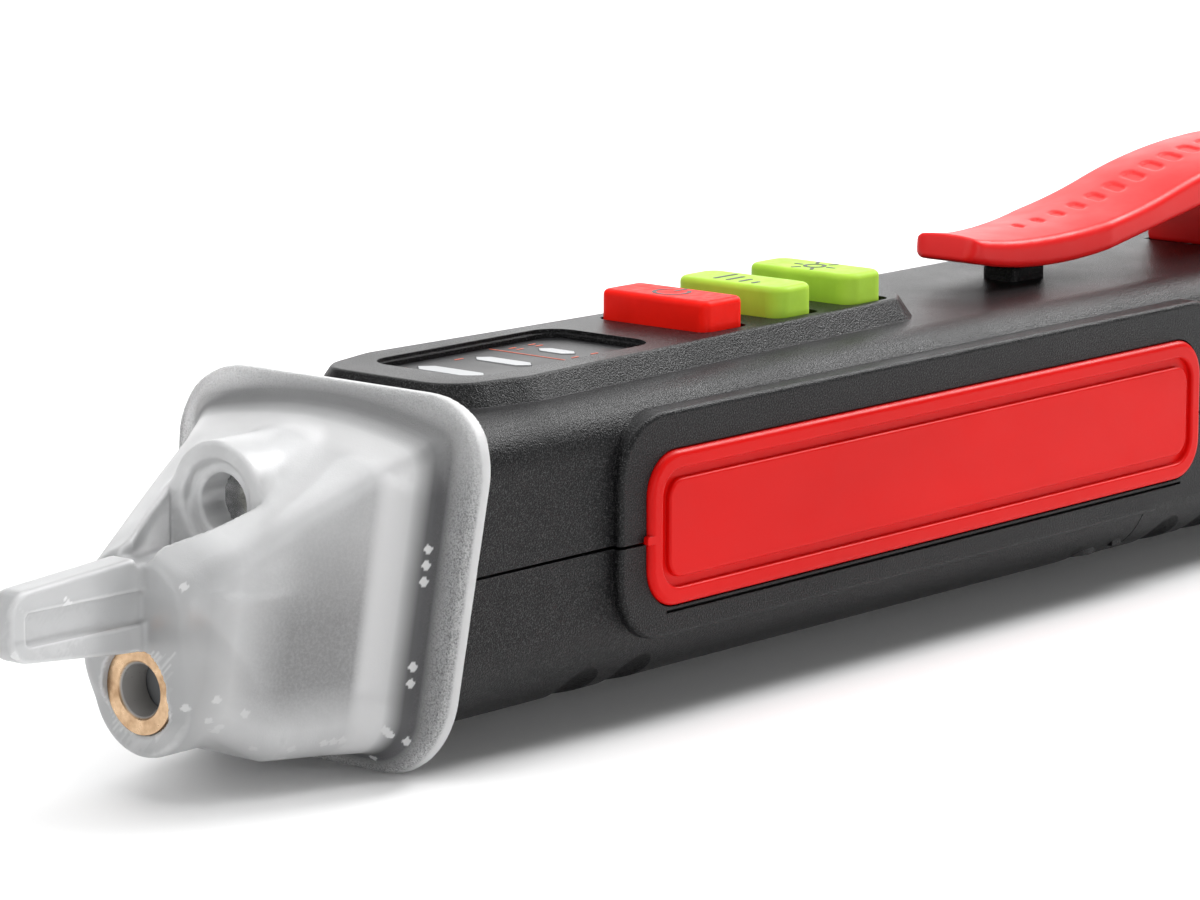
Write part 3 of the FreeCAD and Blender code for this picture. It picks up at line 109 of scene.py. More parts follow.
class Shader:
    """A material with a Principled shader and short ways to add nodes to it. Sizes are in mm."""

    def __init__(self, name, color, roughness, **sockets):
        self.material = bpy.data.materials.new(name)
        self.material.use_nodes = True
        self.tree = self.material.node_tree
        self.tree.nodes.clear()
        output = self.add("ShaderNodeOutputMaterial")
        self.shader = self.add("ShaderNodeBsdfPrincipled")
        self.link(self.shader.outputs[0], output.inputs["Surface"])
        self.set("Base Color", (*color, 1.0))
        self.set("Roughness", roughness)
        for key, value in sockets.items():
            self.set(key.replace("_", " ").title().replace("Ior", "IOR"), value)
        self.material.diffuse_color = (*color, 1.0)
        self.space = self.add("ShaderNodeTexCoord").outputs["Object"]
        self.normal = None

    def add(self, kind, **values):
        """A new node with some of its properties."""
        node = self.tree.nodes.new(kind)
        for key, value in values.items():
            setattr(node, key, value)
        return node

    def link(self, source, target):
        """Join an output to an input."""
        self.tree.links.new(source, target)

    def set(self, name, value):
        """One even value on a socket of the shader."""
        self.shader.inputs[name].default_value = value

    def drive(self, name, source):
        """A varying value on a socket of the shader."""
        self.link(source, self.shader.inputs[name])

    def noise(self, size, detail=2.0, rough=0.5, stretch=None):
        """Noise with a grain of a size, as 0..1."""
        node = self.add("ShaderNodeTexNoise")
        node.inputs["Scale"].default_value = 1 / (size * MM)
        node.inputs["Detail"].default_value = detail
        node.inputs["Roughness"].default_value = rough
        source = self.space
        if stretch:
            mapping = self.add("ShaderNodeMapping")
            mapping.inputs["Scale"].default_value = stretch
            self.link(source, mapping.inputs["Vector"])
            source = mapping.outputs[0]
        self.link(source, node.inputs["Vector"])
        return node.outputs["Fac"]

    def span(self, source, low, high, out_low=0.0, out_high=1.0):
        """Map a range of values to another, clamped."""
        node = self.add("ShaderNodeMapRange")
        limits = {"From Min": low, "From Max": high, "To Min": out_low, "To Max": out_high}
        for key, value in limits.items():
            node.inputs[key].default_value = value
        self.link(source, node.inputs["Value"])
        return node.outputs["Result"]

    def window(self, source, start, full, fade, end):
        """A mask that rises to 1 and falls back to 0 along a value."""
        return self.product(self.span(source, start, full), self.span(source, fade, end, 1, 0))

    def math(self, operation, first, second):
        """A sum, product or other function of two values."""
        node = self.add("ShaderNodeMath", operation=operation)
        for slot, value in zip(node.inputs, (first, second)):
            if isinstance(value, (int, float)):
                slot.default_value = value
            else:
                self.link(value, slot)
        return node.outputs[0]

    def product(self, first, *others):
        """The product of several masks."""
        for other in others:
            first = self.math("MULTIPLY", first, other)
        return first

    def vector(self, operation, source, values):
        """A vector function of a vector and a fixed one."""
        node = self.add("ShaderNodeVectorMath", operation=operation)
        self.link(source, node.inputs[0])
        node.inputs[1].default_value = values
        return node.outputs

    def separate(self, source):
        """The X, Y and Z outputs of a vector."""
        node = self.add("ShaderNodeSeparateXYZ")
        self.link(source, node.inputs[0])
        return node.outputs

    def blend(self, factor, first, second):
        """Mix two colours."""
        node = self.add("ShaderNodeMix", data_type="RGBA")
        self.link(factor, node.inputs["Factor"])
        for key, value in (("A", first), ("B", second)):
            slot = next(s for s in node.inputs if s.name == key and s.type == "RGBA")
            if isinstance(value, tuple):
                slot.default_value = (*value, 1.0)
            else:
                self.link(value, slot)
        return next(s for s in node.outputs if s.type == "RGBA")

    def bump(self, height, depth, strength=1.0):
        """Add a bump over the bumps so far."""
        node = self.add("ShaderNodeBump")
        node.inputs["Strength"].default_value = strength
        node.inputs["Distance"].default_value = depth * MM
        self.link(height, node.inputs["Height"])
        if self.normal is not None:
            self.link(self.normal, node.inputs["Normal"])
        self.normal = node.outputs["Normal"]
        self.drive("Normal", self.normal)

    def soft_edges(self, radius):
        """Round the look of sharp edges; called before any bump."""
        node = self.add("ShaderNodeBevel", samples=4)
        node.inputs["Radius"].default_value = radius * MM
        self.normal = node.outputs["Normal"]
        self.drive("Normal", self.normal)


# ---- materials ----------------------------------------------------------------------------------

BORE_WALL = (1.85, 1.95)  # radii between which the laser ring's colour turns into its bore's
BORE_GREY = (0.32, 0.31, 0.3)


def coarse_plastic(name, color, dark, grain, depth, rough):
    """Spark-eroded moulded plastic: fine dense grain with pale flecks painted on as glints of light,
    smoother in patches.
    """
    s = Shader(name, color, rough, specular_ior_level=0.18)
    s.soft_edges(0.12)
    s.bump(s.noise(grain, 2.0, 0.6), depth, 0.9)
    s.drive("Roughness", s.span(s.noise(9.0, 3.0), 0.3, 0.7, rough - 0.04, rough + 0.06))
    # Painted glints: pale flecks in the colour stand in for light catching the grain.
    painted_glints = s.span(s.noise(grain * 0.8, 1.0), 0.5, 0.75)
    s.drive("Base Color", s.blend(painted_glints, dark, color))
    return s.material


def moulded_plastic(name, color, shade, rough, shine=0.5):
    """Satin moulded plastic with faint flow marks and a fine skin."""
    s = Shader(name, color, rough, specular_ior_level=shine)
    s.soft_edges(0.1)
    s.bump(s.noise(0.5, 3.0, 0.55), 0.004, 0.5)
    s.bump(s.noise(6.0), 0.01, 0.15)
    flow = s.noise(14.0, 3.0, stretch=(0.4, 1, 1))
    s.drive("Base Color", s.blend(s.span(flow, 0.35, 0.65), shade, color))
    s.drive("Roughness", s.span(s.noise(3.0, 3.0), 0.3, 0.7, rough - 0.04, rough + 0.05))
    return s.material


def soft_button(name, color, shade):
    """Soft-touch rubber button, a little translucent, with an uneven skin."""
    s = Shader(name, color, 0.48, subsurface_weight=0.15, subsurface_scale=0.0008, specular_ior_level=0.12)
    s.set("Subsurface Radius", (1.0, 0.6, 0.3))
    s.soft_edges(0.12)
    s.bump(s.noise(0.22, 3.0, 0.6), 0.012, 0.5)
    s.bump(s.noise(2.2), 0.03, 0.25)
    s.drive("Base Color", s.blend(s.span(s.noise(2.5, 3.0), 0.35, 0.7), shade, color))
    s.drive("Roughness", s.span(s.noise(0.6, 3.0), 0.3, 0.7, 0.42, 0.56))
    return s.material


def metal_shader(name, color, dark, rough):
    """Bare metal with fine tool marks and light tarnish: its shader and its colour."""
    s = Shader(name, color, rough, metallic=1.0)
    s.soft_edges(0.06)
    s.bump(s.noise(0.12, 2.0, 0.6), 0.004, 0.6)
    stain = s.noise(1.3, 4.0, 0.65)
    tarnished = s.blend(s.span(stain, 0.35, 0.6), dark, color)
    s.drive("Base Color", tarnished)
    s.drive("Roughness", s.span(stain, 0.3, 0.7, rough + 0.14, rough - 0.05))
    return s, tarnished


def metal(name, color, dark, rough):
    """Bare metal all over."""
    return metal_shader(name, color, dark, rough)[0].material


def brass_ring(name, color, dark):
    """Turned brass with a grey, dull bore."""
    s, polished = metal_shader(name, color, dark, 0.28)
    across = s.vector("MULTIPLY", s.vector("SUBTRACT", s.space, tuple(DATUM))[0], (0, 1, 1))[0]
    radius = s.vector("LENGTH", across, (0, 0, 0))["Value"]
    outside = s.span(radius, *(limit * MM for limit in BORE_WALL))
    s.drive("Base Color", s.blend(outside, BORE_GREY, polished))
    s.drive("Metallic", outside)
    return s.material


def clear_lens(name):
    """Small polished lens with faint dust."""
    s = Shader(name, (0.3, 0.31, 0.32), 0.04, transmission_weight=0.3, ior=1.6)
    s.bump(s.noise(0.5), 0.002, 0.2)
    s.drive("Roughness", s.span(s.noise(0.7, 3.0), 0.4, 0.75, 0.02, 0.16))
    return s.material


def printed(name, color):
    """Pad-printed ink, a little uneven."""
    s = Shader(name, color, 0.5)
    s.bump(s.noise(0.12), 0.006, 0.4)
    fade = s.span(s.noise(0.35, 3.0), 0.3, 0.6)
    s.drive("Base Color", s.blend(fade, tuple(c * 0.7 for c in color), color))
    return s.material


LEAN = math.radians(7.7)  # lean of the collar
COLLAR_FRONT = 15.9


def nose_places(s):
    """A point's place in mm: behind the collar's front face, over the laser's axis, and behind the ring.

    Both distances back are measured along X on planes that lean as the collar does.
    """
    place = s.separate(s.space)
    lean = math.tan(LEAN)
    start = DATUM[0] + COLLAR_FRONT * MM - DATUM[2] * lean
    along = s.math("SUBTRACT", place["X"], s.math("MULTIPLY", place["Z"], lean))
    behind = s.math("MULTIPLY", s.math("SUBTRACT", along, start), 1 / MM)
    height = s.math("MULTIPLY", s.math("SUBTRACT", place["Z"], DATUM[2]), 1 / MM)
    past_ring = s.math("MULTIPLY", s.math("SUBTRACT", along, DATUM[0]), 1 / MM)
    return behind, height, past_ring


def frosted(name):
    """Frosted translucent plastic with a pitted collar face. Painted shade darkens the side facets for the
    dark inside seen through them, the crease at the dome's root, the collar's pits and hollow creases;
    painted highlights whiten the collar's edge, a band ahead of the collar and sharp outer edges.
    """
    s = Shader(name, (0.9, 0.905, 0.91), 0.34, transmission_weight=0.52, ior=1.45)
    s.soft_edges(0.15)
    behind, height, past_ring = nose_places(s)
    collar = s.span(behind, -0.8, 0)
    rim_and_painted_highlight = s.span(behind, 0.3, 0.6)
    face = s.product(collar, s.span(rim_and_painted_highlight, 0, 1, 1, 0.1))
    pits = s.noise(0.13, 2.0, 0.65)
    s.bump(s.product(pits, s.span(face, 0, 1, 0.06, 1)), 0.2)
    s.bump(s.noise(0.16, 3.0, 0.6), 0.01, 0.4)
    s.bump(s.noise(2.6), 0.08, 0.25)

    milky = s.blend(s.span(s.noise(4.0, 4.0, 0.6), 0.35, 0.7), (0.8, 0.805, 0.81), (0.88, 0.883, 0.887))
    blade = s.span(past_ring, -0.5, 1.5, 1, 0)
    color = s.blend(blade, milky, (0.6, 0.605, 0.61))

    normal = s.separate(s.add("ShaderNodeTexCoord").outputs["Normal"])
    # Painted shade: side-facing surfaces of the dome darkened, standing in for the dark inside seen through
    # the frosted wall.
    painted_facet_shade = s.product(
        s.span(s.math("ABSOLUTE", normal["Y"], 0), 0.8, 0.93),
        s.window(behind, -13.5, -9.5, -4.7, -3.6),
        s.span(height, -3, 0),
        s.span(height, 4, 10, 1, 0.4),
        s.span(s.noise(0.2, 3.0, 0.7), 0.3, 0.6, 0.7, 1),
    )
    color = s.blend(painted_facet_shade, color, (0.36, 0.36, 0.365))
    # Painted highlight: a near-white band on the flared sides just ahead of the collar.
    color = s.blend(s.window(behind, -4.6, -3.6, -2.6, -1.6), color, (0.97, 0.97, 0.975))

    # Painted shade: a dark line in the crease where the dome meets the collar, a little weaker at the top.
    root = s.product(s.window(behind, -2.2, -1.0, -0.4, 0.1), s.span(height, 12, 15.5, 1, 0.75))
    color = s.blend(root, color, (0.1, 0.1, 0.105))
    # Painted shade: the collar face's pits darkened, less so towards the top.
    painted_pit_shade = s.product(face, s.span(pits, 0.32, 0.6, 1, 0), s.span(height, 11, 15, 1, 0.35))
    color = s.blend(painted_pit_shade, color, (0.16, 0.16, 0.165))
    # Painted highlight: the collar's edge, from just behind its front face, made near white.
    color = s.blend(rim_and_painted_highlight, color, (0.96, 0.962, 0.965))

    # Painted light from pointiness: sharp outer edges painted near white as highlights, hollow creases
    # painted grey as shade.
    pointiness_for_painted_light = s.add("ShaderNodeNewGeometry").outputs["Pointiness"]
    color = s.blend(s.span(pointiness_for_painted_light, 0.42, 0.49, 0.45, 0), color, (0.3, 0.3, 0.305))
    color = s.blend(s.span(pointiness_for_painted_light, 0.515, 0.57), color, (0.97, 0.972, 0.975))
    s.drive("Base Color", color)
    s.drive("Roughness", s.span(collar, 0, 1, 0.33, 0.42))
    return s.material


MATERIALS = {
    "frosted_nose": frosted("frosted_nose"),
    "lens_glass": clear_lens("lens_glass"),
    "brass": brass_ring("brass", (0.62, 0.43, 0.27), (0.4, 0.25, 0.14)),
    "button_red": soft_button("button_red", (0.95, 0.01, 0.003), (0.86, 0.008, 0.002)),
    "button_green": soft_button("button_green", (0.42, 0.66, 0.06), (0.36, 0.58, 0.05)),
}
# The first colour is that of the pale flecks painted as glints of light.
COARSE = {  # pale specks, dark ground, grain, depth of the grain, roughness
    "black_plastic": ((0.055, 0.055, 0.056), (0.002, 0.002, 0.0025), 0.13, 0.07, 0.32),
    "panel_black": ((0.015, 0.015, 0.016), (0.01, 0.01, 0.011), 0.16, 0.012, 0.34),
}
MOULDED = {  # colour, shade of its flow marks, roughness, and the shine where it is weaker than usual
    "red_insert": ((0.66, 0.004, 0.003), (0.58, 0.003, 0.002), 0.36, 0.12),
    "red_plastic": ((0.8, 0.01, 0.01), (0.72, 0.008, 0.008), 0.4, 0.28),
    "cell_jacket": ((0.05, 0.12, 0.3), (0.04, 0.1, 0.26), 0.3),
    "component_black": ((0.03, 0.03, 0.03), (0.02, 0.02, 0.02), 0.5),
    "board_green": ((0.02, 0.2, 0.06), (0.015, 0.16, 0.05), 0.3),
    "lamp_white": ((0.88, 0.88, 0.8), (0.8, 0.8, 0.7), 0.3),
    "guide_white": ((0.44, 0.45, 0.46), (0.34, 0.35, 0.36), 0.4),
    "plunger_white": ((0.75, 0.75, 0.72), (0.7, 0.7, 0.67), 0.45),
    "wire_red": ((0.5, 0.02, 0.02), (0.4, 0.015, 0.015), 0.5),
}
METALS = {  # colour, tarnish, roughness
    "reflector_chrome": ((0.8, 0.8, 0.8), (0.45, 0.45, 0.46), 0.16),
    "contact_steel": ((0.7, 0.69, 0.66), (0.5, 0.5, 0.48), 0.3),
    "screw_steel": ((0.5, 0.5, 0.5), (0.3, 0.3, 0.3), 0.35),
    "wire_copper": ((0.75, 0.42, 0.28), (0.5, 0.26, 0.16), 0.35),
}
for make, table in ((coarse_plastic, COARSE), (moulded_plastic, MOULDED), (metal, METALS)):
    for name, values in table.items():
        MATERIALS[name] = make(name, *values)

for part in frame["record"]["subparts"]:
    node = frame["nodes"][part["node"]]
    for slot in node.material_slots:
        slot.material = MATERIALS[part["material_slot"]]


# ---- solids from distance fields ----------------------------------------------------------------

NET_STEP = 0.22  # size of the meshes' quads
NEAR_STEPS = 5  # the field is evaluated finely within this many steps of the surface
SETTLE_TIMES = 3  # moves of each point onto the surface
SETTLE_REACH = 0.2  # steps over which the slope is measured
SETTLE_LIMIT = 0.6  # furthest that a point moves, in steps
FLATTEST = 0.05  # smallest squared slope that a move is worked out from


def soft_min(a, b, k):
    """Union of two distance fields with a fillet of about k."""
    h = np.clip(0.5 + 0.5 * (b - a) / k, 0, 1)
    return b * (1 - h) + a * h - k * h * (1 - h)


def soft_max(a, b, k):
    """Intersection of two distance fields with a rounding of about k."""
    return -soft_min(-a, -b, k)


def both(a, b, radius=0.0):
    """Intersection of two fields with a true radius on the edge between them."""
    a, b = a + radius, b + radius
    return np.minimum(np.maximum(a, b), 0) + np.hypot(np.maximum(a, 0), np.maximum(b, 0)) - radius


def between(value, low, high):
    """Distance to the slab between two values."""
    return np.abs(value - (low + high) / 2) - (high - low) / 2


def rounded_box(u, v, half_u, half_v, radius):
    """Distance to a rectangle with rounded corners about the origin."""
    return both(np.abs(u) - half_u, np.abs(v) - half_v, radius)


def ramp(x, x0, x1, a, b):
    """A straight line through two values, held at the ends."""
    return a + (b - a) * np.clip((x - x0) / (x1 - x0), 0, 1)


def sample(function, low, high, step):
    """A distance function on a grid, evaluated finely only near its surface."""
    counts = [int(math.ceil((h - l) / step / 2)) * 2 + 1 for l, h in zip(low, high)]
    axes = [l + np.arange(n) * step for l, n in zip(low, counts)]
    rough = function(*np.meshgrid(*(a[::2] for a in axes), indexing="ij"))
    field = rough.repeat(2, 0).repeat(2, 1).repeat(2, 2)[:counts[0], :counts[1], :counts[2]]
    close = np.abs(field) < step * NEAR_STEPS
    x, y, z = (axes[i][index] for i, index in enumerate(np.nonzero(close)))
    field[close] = function(x, y, z)
    return field


def crossing_points(field, cells, corners):
    """The mean of the places where the surface cuts each cell's edges, in steps."""
    values = [field[tuple((cells + c).T)] for c in corners]
    total, hits = np.zeros((len(cells), 3)), np.zeros(len(cells))
    for a, first in enumerate(corners):
        for b, second in enumerate(corners):
            if b <= a or sum(abs(p - q) for p, q in zip(first, second)) != 1:
                continue
            crossing = (values[a] < 0) != (values[b] < 0)
            share = np.where(crossing, values[a] / np.where(crossing, values[a] - values[b], 1), 0)
            point = np.array(first) + share[:, None] * (np.array(second) - np.array(first))
            total += point * crossing[:, None]
            hits += crossing
    return cells + total / hits[:, None]


def settled(function, points, step):
    """Points moved along the slope onto the zero level, each within its own cell or so."""
    start = points.copy()
    reach = step * SETTLE_REACH
    for _ in range(SETTLE_TIMES):
        value = function(*points.T)
        slope = np.stack([
            function(*(points + offset).T) - function(*(points - offset).T)
            for offset in np.eye(3) * reach
        ], 1) / (2 * reach)
        size = np.maximum((slope ** 2).sum(1), FLATTEST)
        points = points - (value / size)[:, None] * slope
        points = start + np.clip(points - start, -step * SETTLE_LIMIT, step * SETTLE_LIMIT)
    return points


def quads_between(inside, number):
    """A quad round each grid edge that the surface cuts, facing outwards."""
    quads = []
    for axis in range(3):
        u, v = [d for d in range(3) if d != axis]
        lower = [slice(None)] * 3
        upper = [slice(None)] * 3
        lower[axis], upper[axis] = slice(None, -1), slice(1, None)
        change = inside[tuple(lower)] != inside[tuple(upper)]
        edges = np.argwhere(change)
        entering = inside[tuple(lower)][change]
        steps = np.zeros((4, 3), int)
        steps[1, u] = steps[2, u] = 1
        steps[2, v] = steps[3, v] = 1
        around = np.stack([number[tuple((edges - s).T)] for s in steps], 1)
        turn = entering if axis != 1 else ~entering
        quads.append(np.where(turn[:, None], around, around[:, ::-1]))
    return np.concatenate(quads)


def net(name, function, low, high):
    """A closed quad mesh on the zero level of a distance function given in datum mm."""
    field = sample(function, low, high, NET_STEP)
    inside = field < 0
    spans = [n - 1 for n in field.shape]
    corners = [(i, j, k) for i in (0, 1) for j in (0, 1) for k in (0, 1)]
    filled = sum(
        inside[i:i + spans[0], j:j + spans[1], k:k + spans[2]].astype(np.int8) for i, j, k in corners
    )
    active = (filled > 0) & (filled < len(corners))
    cells = np.argwhere(active)
    number = np.full(active.shape, -1, np.int64)
    number[active] = np.arange(len(cells))
    points = np.array(low, float) + crossing_points(field, cells, corners) * NET_STEP
    points = settled(function, points, NET_STEP)
    quads = quads_between(inside, number)
    mesh = bpy.data.meshes.new(name)
    mesh.vertices.add(len(points))
    mesh.vertices.foreach_set("co", to_frame(points).astype(np.float32).ravel())
    mesh.loops.add(quads.size)
    mesh.loops.foreach_set("vertex_index", quads.ravel().astype(np.int32))
    mesh.polygons.add(len(quads))
    mesh.polygons.foreach_set("loop_start", np.arange(0, quads.size, 4, dtype=np.int32))
    mesh.polygons.foreach_set("use_smooth", np.ones(len(quads), bool))
    mesh.update(calc_edges=True)
    mesh.validate()
    piece = bpy.data.objects.new(name, mesh)
    bpy.context.collection.objects.link(piece)
    return piece


# ---- the nose, in datum mm ----------------------------------------------------------------------
# x, y and z are the datum's axes. u runs back from the collar's leaning front face, and v up it.

COLLAR_THICK = 1.6
COLLAR_MIDDLE = 5.65
COLLAR_HALF_HIGH = 12.9
COLLAR_HALF_WIDE = 13.55
COLLAR_SPREAD = 0.95  # how much wider the collar is at its top, and narrower at its foot
COLLAR_ROUND = 5.6
DOME_FRONT = -0.5
DOME_HALF_WIDE = 5.0  # at its front
SIDE_SLOPE, SIDE_TWIST, TWIST_AT = 0.302, 0.0013, 4.0
FLARE_FROM, FLARE_SLOPE = 4.1, 0.19  # the sides open out this far ahead of the collar
TOP_START, TOP_SLOPE = 9.6, 0.41
CHIN_END = 6.5  # where the slanted chin meets the level underside
WALL = 1.9
BORE_RADIUS = 3.05
BOSS_RADIUS = 4.6
BLADE_TIP, BLADE_ROOT = -12.3, 0.5
BLADE_HALF_THICK = 1.15
TORCH_Z = 11.3
HOOD_FRONT, HOOD_RADIUS = 7.3, 4.35
MOUTH_RADIUS, LIGHT_WAY_RADIUS = 3.2, 2.1


def plate_outline(y, v):
    """The collar's outline: rounded, wider at the top."""
    wide = COLLAR_HALF_WIDE + COLLAR_SPREAD * (v - COLLAR_MIDDLE) / COLLAR_HALF_HIGH
    across = y * COLLAR_HALF_WIDE / wide
    return rounded_box(across, v - COLLAR_MIDDLE, COLLAR_HALF_WIDE, COLLAR_HALF_HIGH, COLLAR_ROUND)


def dome_top(x, y):
    """Height of the dome's top, more crowned at its front."""
    crown = 0.09 * np.exp(-np.clip(x, 0, 30) / 5) + 0.008
    return TOP_START + TOP_SLOPE * x - crown * y * y


def dome_field(x, y, z, u, shrink=0.0):
    """The tapered dome: leaning side facets that flare near the collar, crowned top, slanted chin."""
    slope = SIDE_SLOPE + SIDE_TWIST * (z - TWIST_AT)
    half = DOME_HALF_WIDE + (x - DOME_FRONT) * slope + FLARE_SLOPE * np.maximum(u + FLARE_FROM, 0)
    side = (np.abs(y) - half + shrink) * 0.95
    top = (z - dome_top(x, y) + shrink * 1.05) * 0.9
    chin = ramp(x, -1.0, CHIN_END, -0.8, -5.3) + ramp(x, CHIN_END, 16.0, 0, -0.45)
    low = (chin - z + shrink * 1.1) * np.where(x < CHIN_END, 0.86, 0.99)
    front = DOME_FRONT - x + shrink * 1.6
    return soft_max(both(soft_max(side, top, 1.4), low, 2.6), front, 0.9)


def blade_field(x, y, z):
    """The flat sensing blade, tapered in height, with a shallow channel in each side."""
    low = ramp(x, BLADE_TIP, BLADE_ROOT, 3.9, 2.7)
    high = ramp(x, BLADE_TIP, BLADE_ROOT, 8.45, 9.3)
    outline = rounded_box(x + 4.9, z - (low + high) / 2, 7.4, (high - low) / 2, 1.5)
    flat = both(outline, np.abs(y) - BLADE_HALF_THICK, 0.35)
    channel_middle = 6.0 - 0.01 * (x + 11)
    channel = both(rounded_box(x + 5.6, z - channel_middle, 5.4, 1.1, 0.3), 0.8 - np.abs(y), 0.1)
    return soft_max(flat, -channel, 0.12)


def trough_shape(x):
    """Half width and floor height of the trough from the torch hood to the blade."""
    wide = ramp(x, 1.0, 4.0, 1.4, 3.0) + ramp(x, 4.0, HOOD_FRONT, 0, 1.25)
    return wide, ramp(x, 0.0, 6.4, 8.7, 7.9)


def cavity_field(x, y, z, u, v, from_axis, from_torch):
    """The hollow inside: a wall's thickness within the dome, clear of the laser and torch tubes."""
    wide, floor = trough_shape(x)
    dome = soft_max(dome_field(x, y, z, u, WALL), 3.4 - x, 3.0)
    throat = rounded_box(y, v - COLLAR_MIDDLE, 9.1, 7.35, 2.4)
    room = both(throat, between(u, -0.4, 8.4))
    hollow = soft_min(both(both(dome, throat, 0.3), u - 0.2), room, 0.6)
    under_trough = both(both(np.abs(y) - wide - 1.3, floor - 1.4 - z), x - 8.6)
    laser_tube = both(from_axis - 4.0, x - 10.8)
    torch_tube = both(from_torch - 4.2, x - 15.9)
    return soft_max(hollow, -np.minimum(np.minimum(laser_tube, torch_tube), under_trough), 1.6)


def nose_field(x, y, z):
    """The whole nose: collar, dome, boss, blade, torch hood and the skirt in the housing."""
    u = (x - COLLAR_FRONT) * math.cos(LEAN) - z * math.sin(LEAN)
    v = (x - COLLAR_FRONT) * math.sin(LEAN) + z * math.cos(LEAN)
    from_axis, from_torch = np.hypot(y, z), np.hypot(y, z - TORCH_Z)
    outline = plate_outline(y, v)
    plate = both(outline, between(u, 0, COLLAR_THICK), 0.6)
    solid = soft_min(both(dome_field(x, y, z, u), u - 1.0), plate, 1.8)
    solid = soft_max(solid, u - COLLAR_THICK, 0.3)
    solid = np.where(u > 0, np.maximum(solid, outline), solid)
    boss = both(from_axis - BOSS_RADIUS, between(x, 0.1, 6.2), 0.4)
    solid = soft_min(solid, boss, 0.5)
    solid = soft_min(solid, blade_field(x, y, z), 0.5)
    hood = both(from_torch - HOOD_RADIUS, between(x, HOOD_FRONT, 17.3), 0.35)
    solid = soft_min(solid, both(hood, u - 0.8), 0.9)

    wide, floor = trough_shape(x)
    trough = both((np.abs(y) - wide) * 0.9, floor - z, 0.5)
    trough = both(trough, between(x, -1.1, HOOD_FRONT), 0.15)
    solid = soft_max(solid, -trough, 0.4)
    skirt = both(rounded_box(y, v - 5.85, 10.3, 8.45, 3.4), between(u, 1.0, 6.8), 0.2)
    solid = np.minimum(solid, skirt)
    solid = soft_max(solid, -cavity_field(x, y, z, u, v, from_axis, from_torch), 0.2)

    bore = both(from_axis - BORE_RADIUS, between(x, -4.0, 11.4))
    torch_bore = both(from_torch - MOUTH_RADIUS, between(x, 10.4, HOOD_FRONT + 10.0))
    light_way = both(from_torch - LIGHT_WAY_RADIUS, between(x, 6.0, 12.0))
    solid = np.maximum(solid, -np.minimum(bore, np.minimum(torch_bore, light_way)))
    mouth_edge = from_torch - MOUTH_RADIUS + 0.35 * np.clip(x - HOOD_FRONT, 0, 1)
    return soft_max(solid, -both(mouth_edge, between(x, 5.0, 8.0), 0.3), 0.25)


nose = net("nose", nose_field, (-13.2, -15.2, -8.6), (25.0, 15.2, 19.8))
nose.data.materials.append(MATERIALS["frosted_nose"])
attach(nose, "root")
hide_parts("sensor_nose")

# ---- the clip, in datum mm ----------------------------------------------------------------------

CLIP_TIP, CLIP_FULL, CLIP_ROOT, CLIP_END = 87.2, 103.0, 121.0, 146.0
TIP_HALF_WIDE, CLIP_HALF_WIDE = 3.0, 5.0
UNDER_AT, UNDER, UNDER_TIP_BEND, UNDER_BEND = 96.0, 17.7, 36.0, 45.0
UNDER_RISE = math.radians(9.65)
BACK_AT, BACK, BACK_TIP_BEND, BACK_BEND = 94.0, 20.15, 42.9, 72.9
BACK_TURN, CREST = 112.0, 130.0
CROWN_RISE = 0.17  # the middle of the crowned back over its side outline
BODY_TOP = 16.3
SIDE_STEP = 0.1
SIDE_X = np.arange(85.0, 148.0, SIDE_STEP)
SIDE_Z = np.arange(13.0, 27.5, SIDE_STEP)
DIMPLES, FIRST_DIMPLE, DIMPLE_PITCH, DIMPLE_DEPTH = 16, 97.2, 2.62, 0.16
DIMPLE_SLANT = 0.36


def bowl(x, low_at, low, front_bend, rear_bend):
    """Height on two arcs that meet at a lowest point."""
    bend = np.where(x < low_at, front_bend, rear_bend)
    return low + bend - np.sqrt(bend ** 2 - (x - low_at) ** 2)


def under_at(x):
    """Height of the arm's underside: two arcs, then straight up to the root."""
    start = UNDER_AT + UNDER_BEND * math.sin(UNDER_RISE)
    curved = bowl(np.minimum(x, start), UNDER_AT, UNDER, UNDER_TIP_BEND, UNDER_BEND)
    return curved + np.maximum(x - start, 0) * math.tan(UNDER_RISE)


def back_at(x):
    """Height of the clip's back: hollow over the arm, then domed over the base."""
    turn = bowl(BACK_TURN, BACK_AT, BACK, BACK_TIP_BEND, BACK_BEND)
    slope = math.asin((BACK_TURN - BACK_AT) / BACK_BEND)
    bend = (CREST - BACK_TURN) / math.sin(slope)
    crest = turn + bend * (1 - math.cos(slope))
    domed = crest - bend + np.sqrt(bend ** 2 - (np.maximum(x, BACK_TURN) - CREST) ** 2)
    hollow = bowl(np.minimum(x, BACK_TURN), BACK_AT, BACK, BACK_TIP_BEND, BACK_BEND)
    return np.where(x > BACK_TURN, domed, hollow)


def polygon_field(outline, x, z):
    """Signed distance in the side view to a closed outline."""
    points = np.array(outline)
    best = np.full(x.shape, np.inf)
    crossings = np.zeros(x.shape, bool)
    for (ax, az), (bx, bz) in zip(points, np.roll(points, -1, 0)):
        ex, ez = bx - ax, bz - az
        along = np.clip(((x - ax) * ex + (z - az) * ez) / (ex * ex + ez * ez), 0, 1)
        best = np.minimum(best, np.hypot(x - ax - along * ex, z - az - along * ez))
        if az != bz:
            crossings ^= ((az > z) != (bz > z)) & (x < (bx - ax) * (z - az) / (bz - az) + ax)
    return np.where(crossings, -best, best)


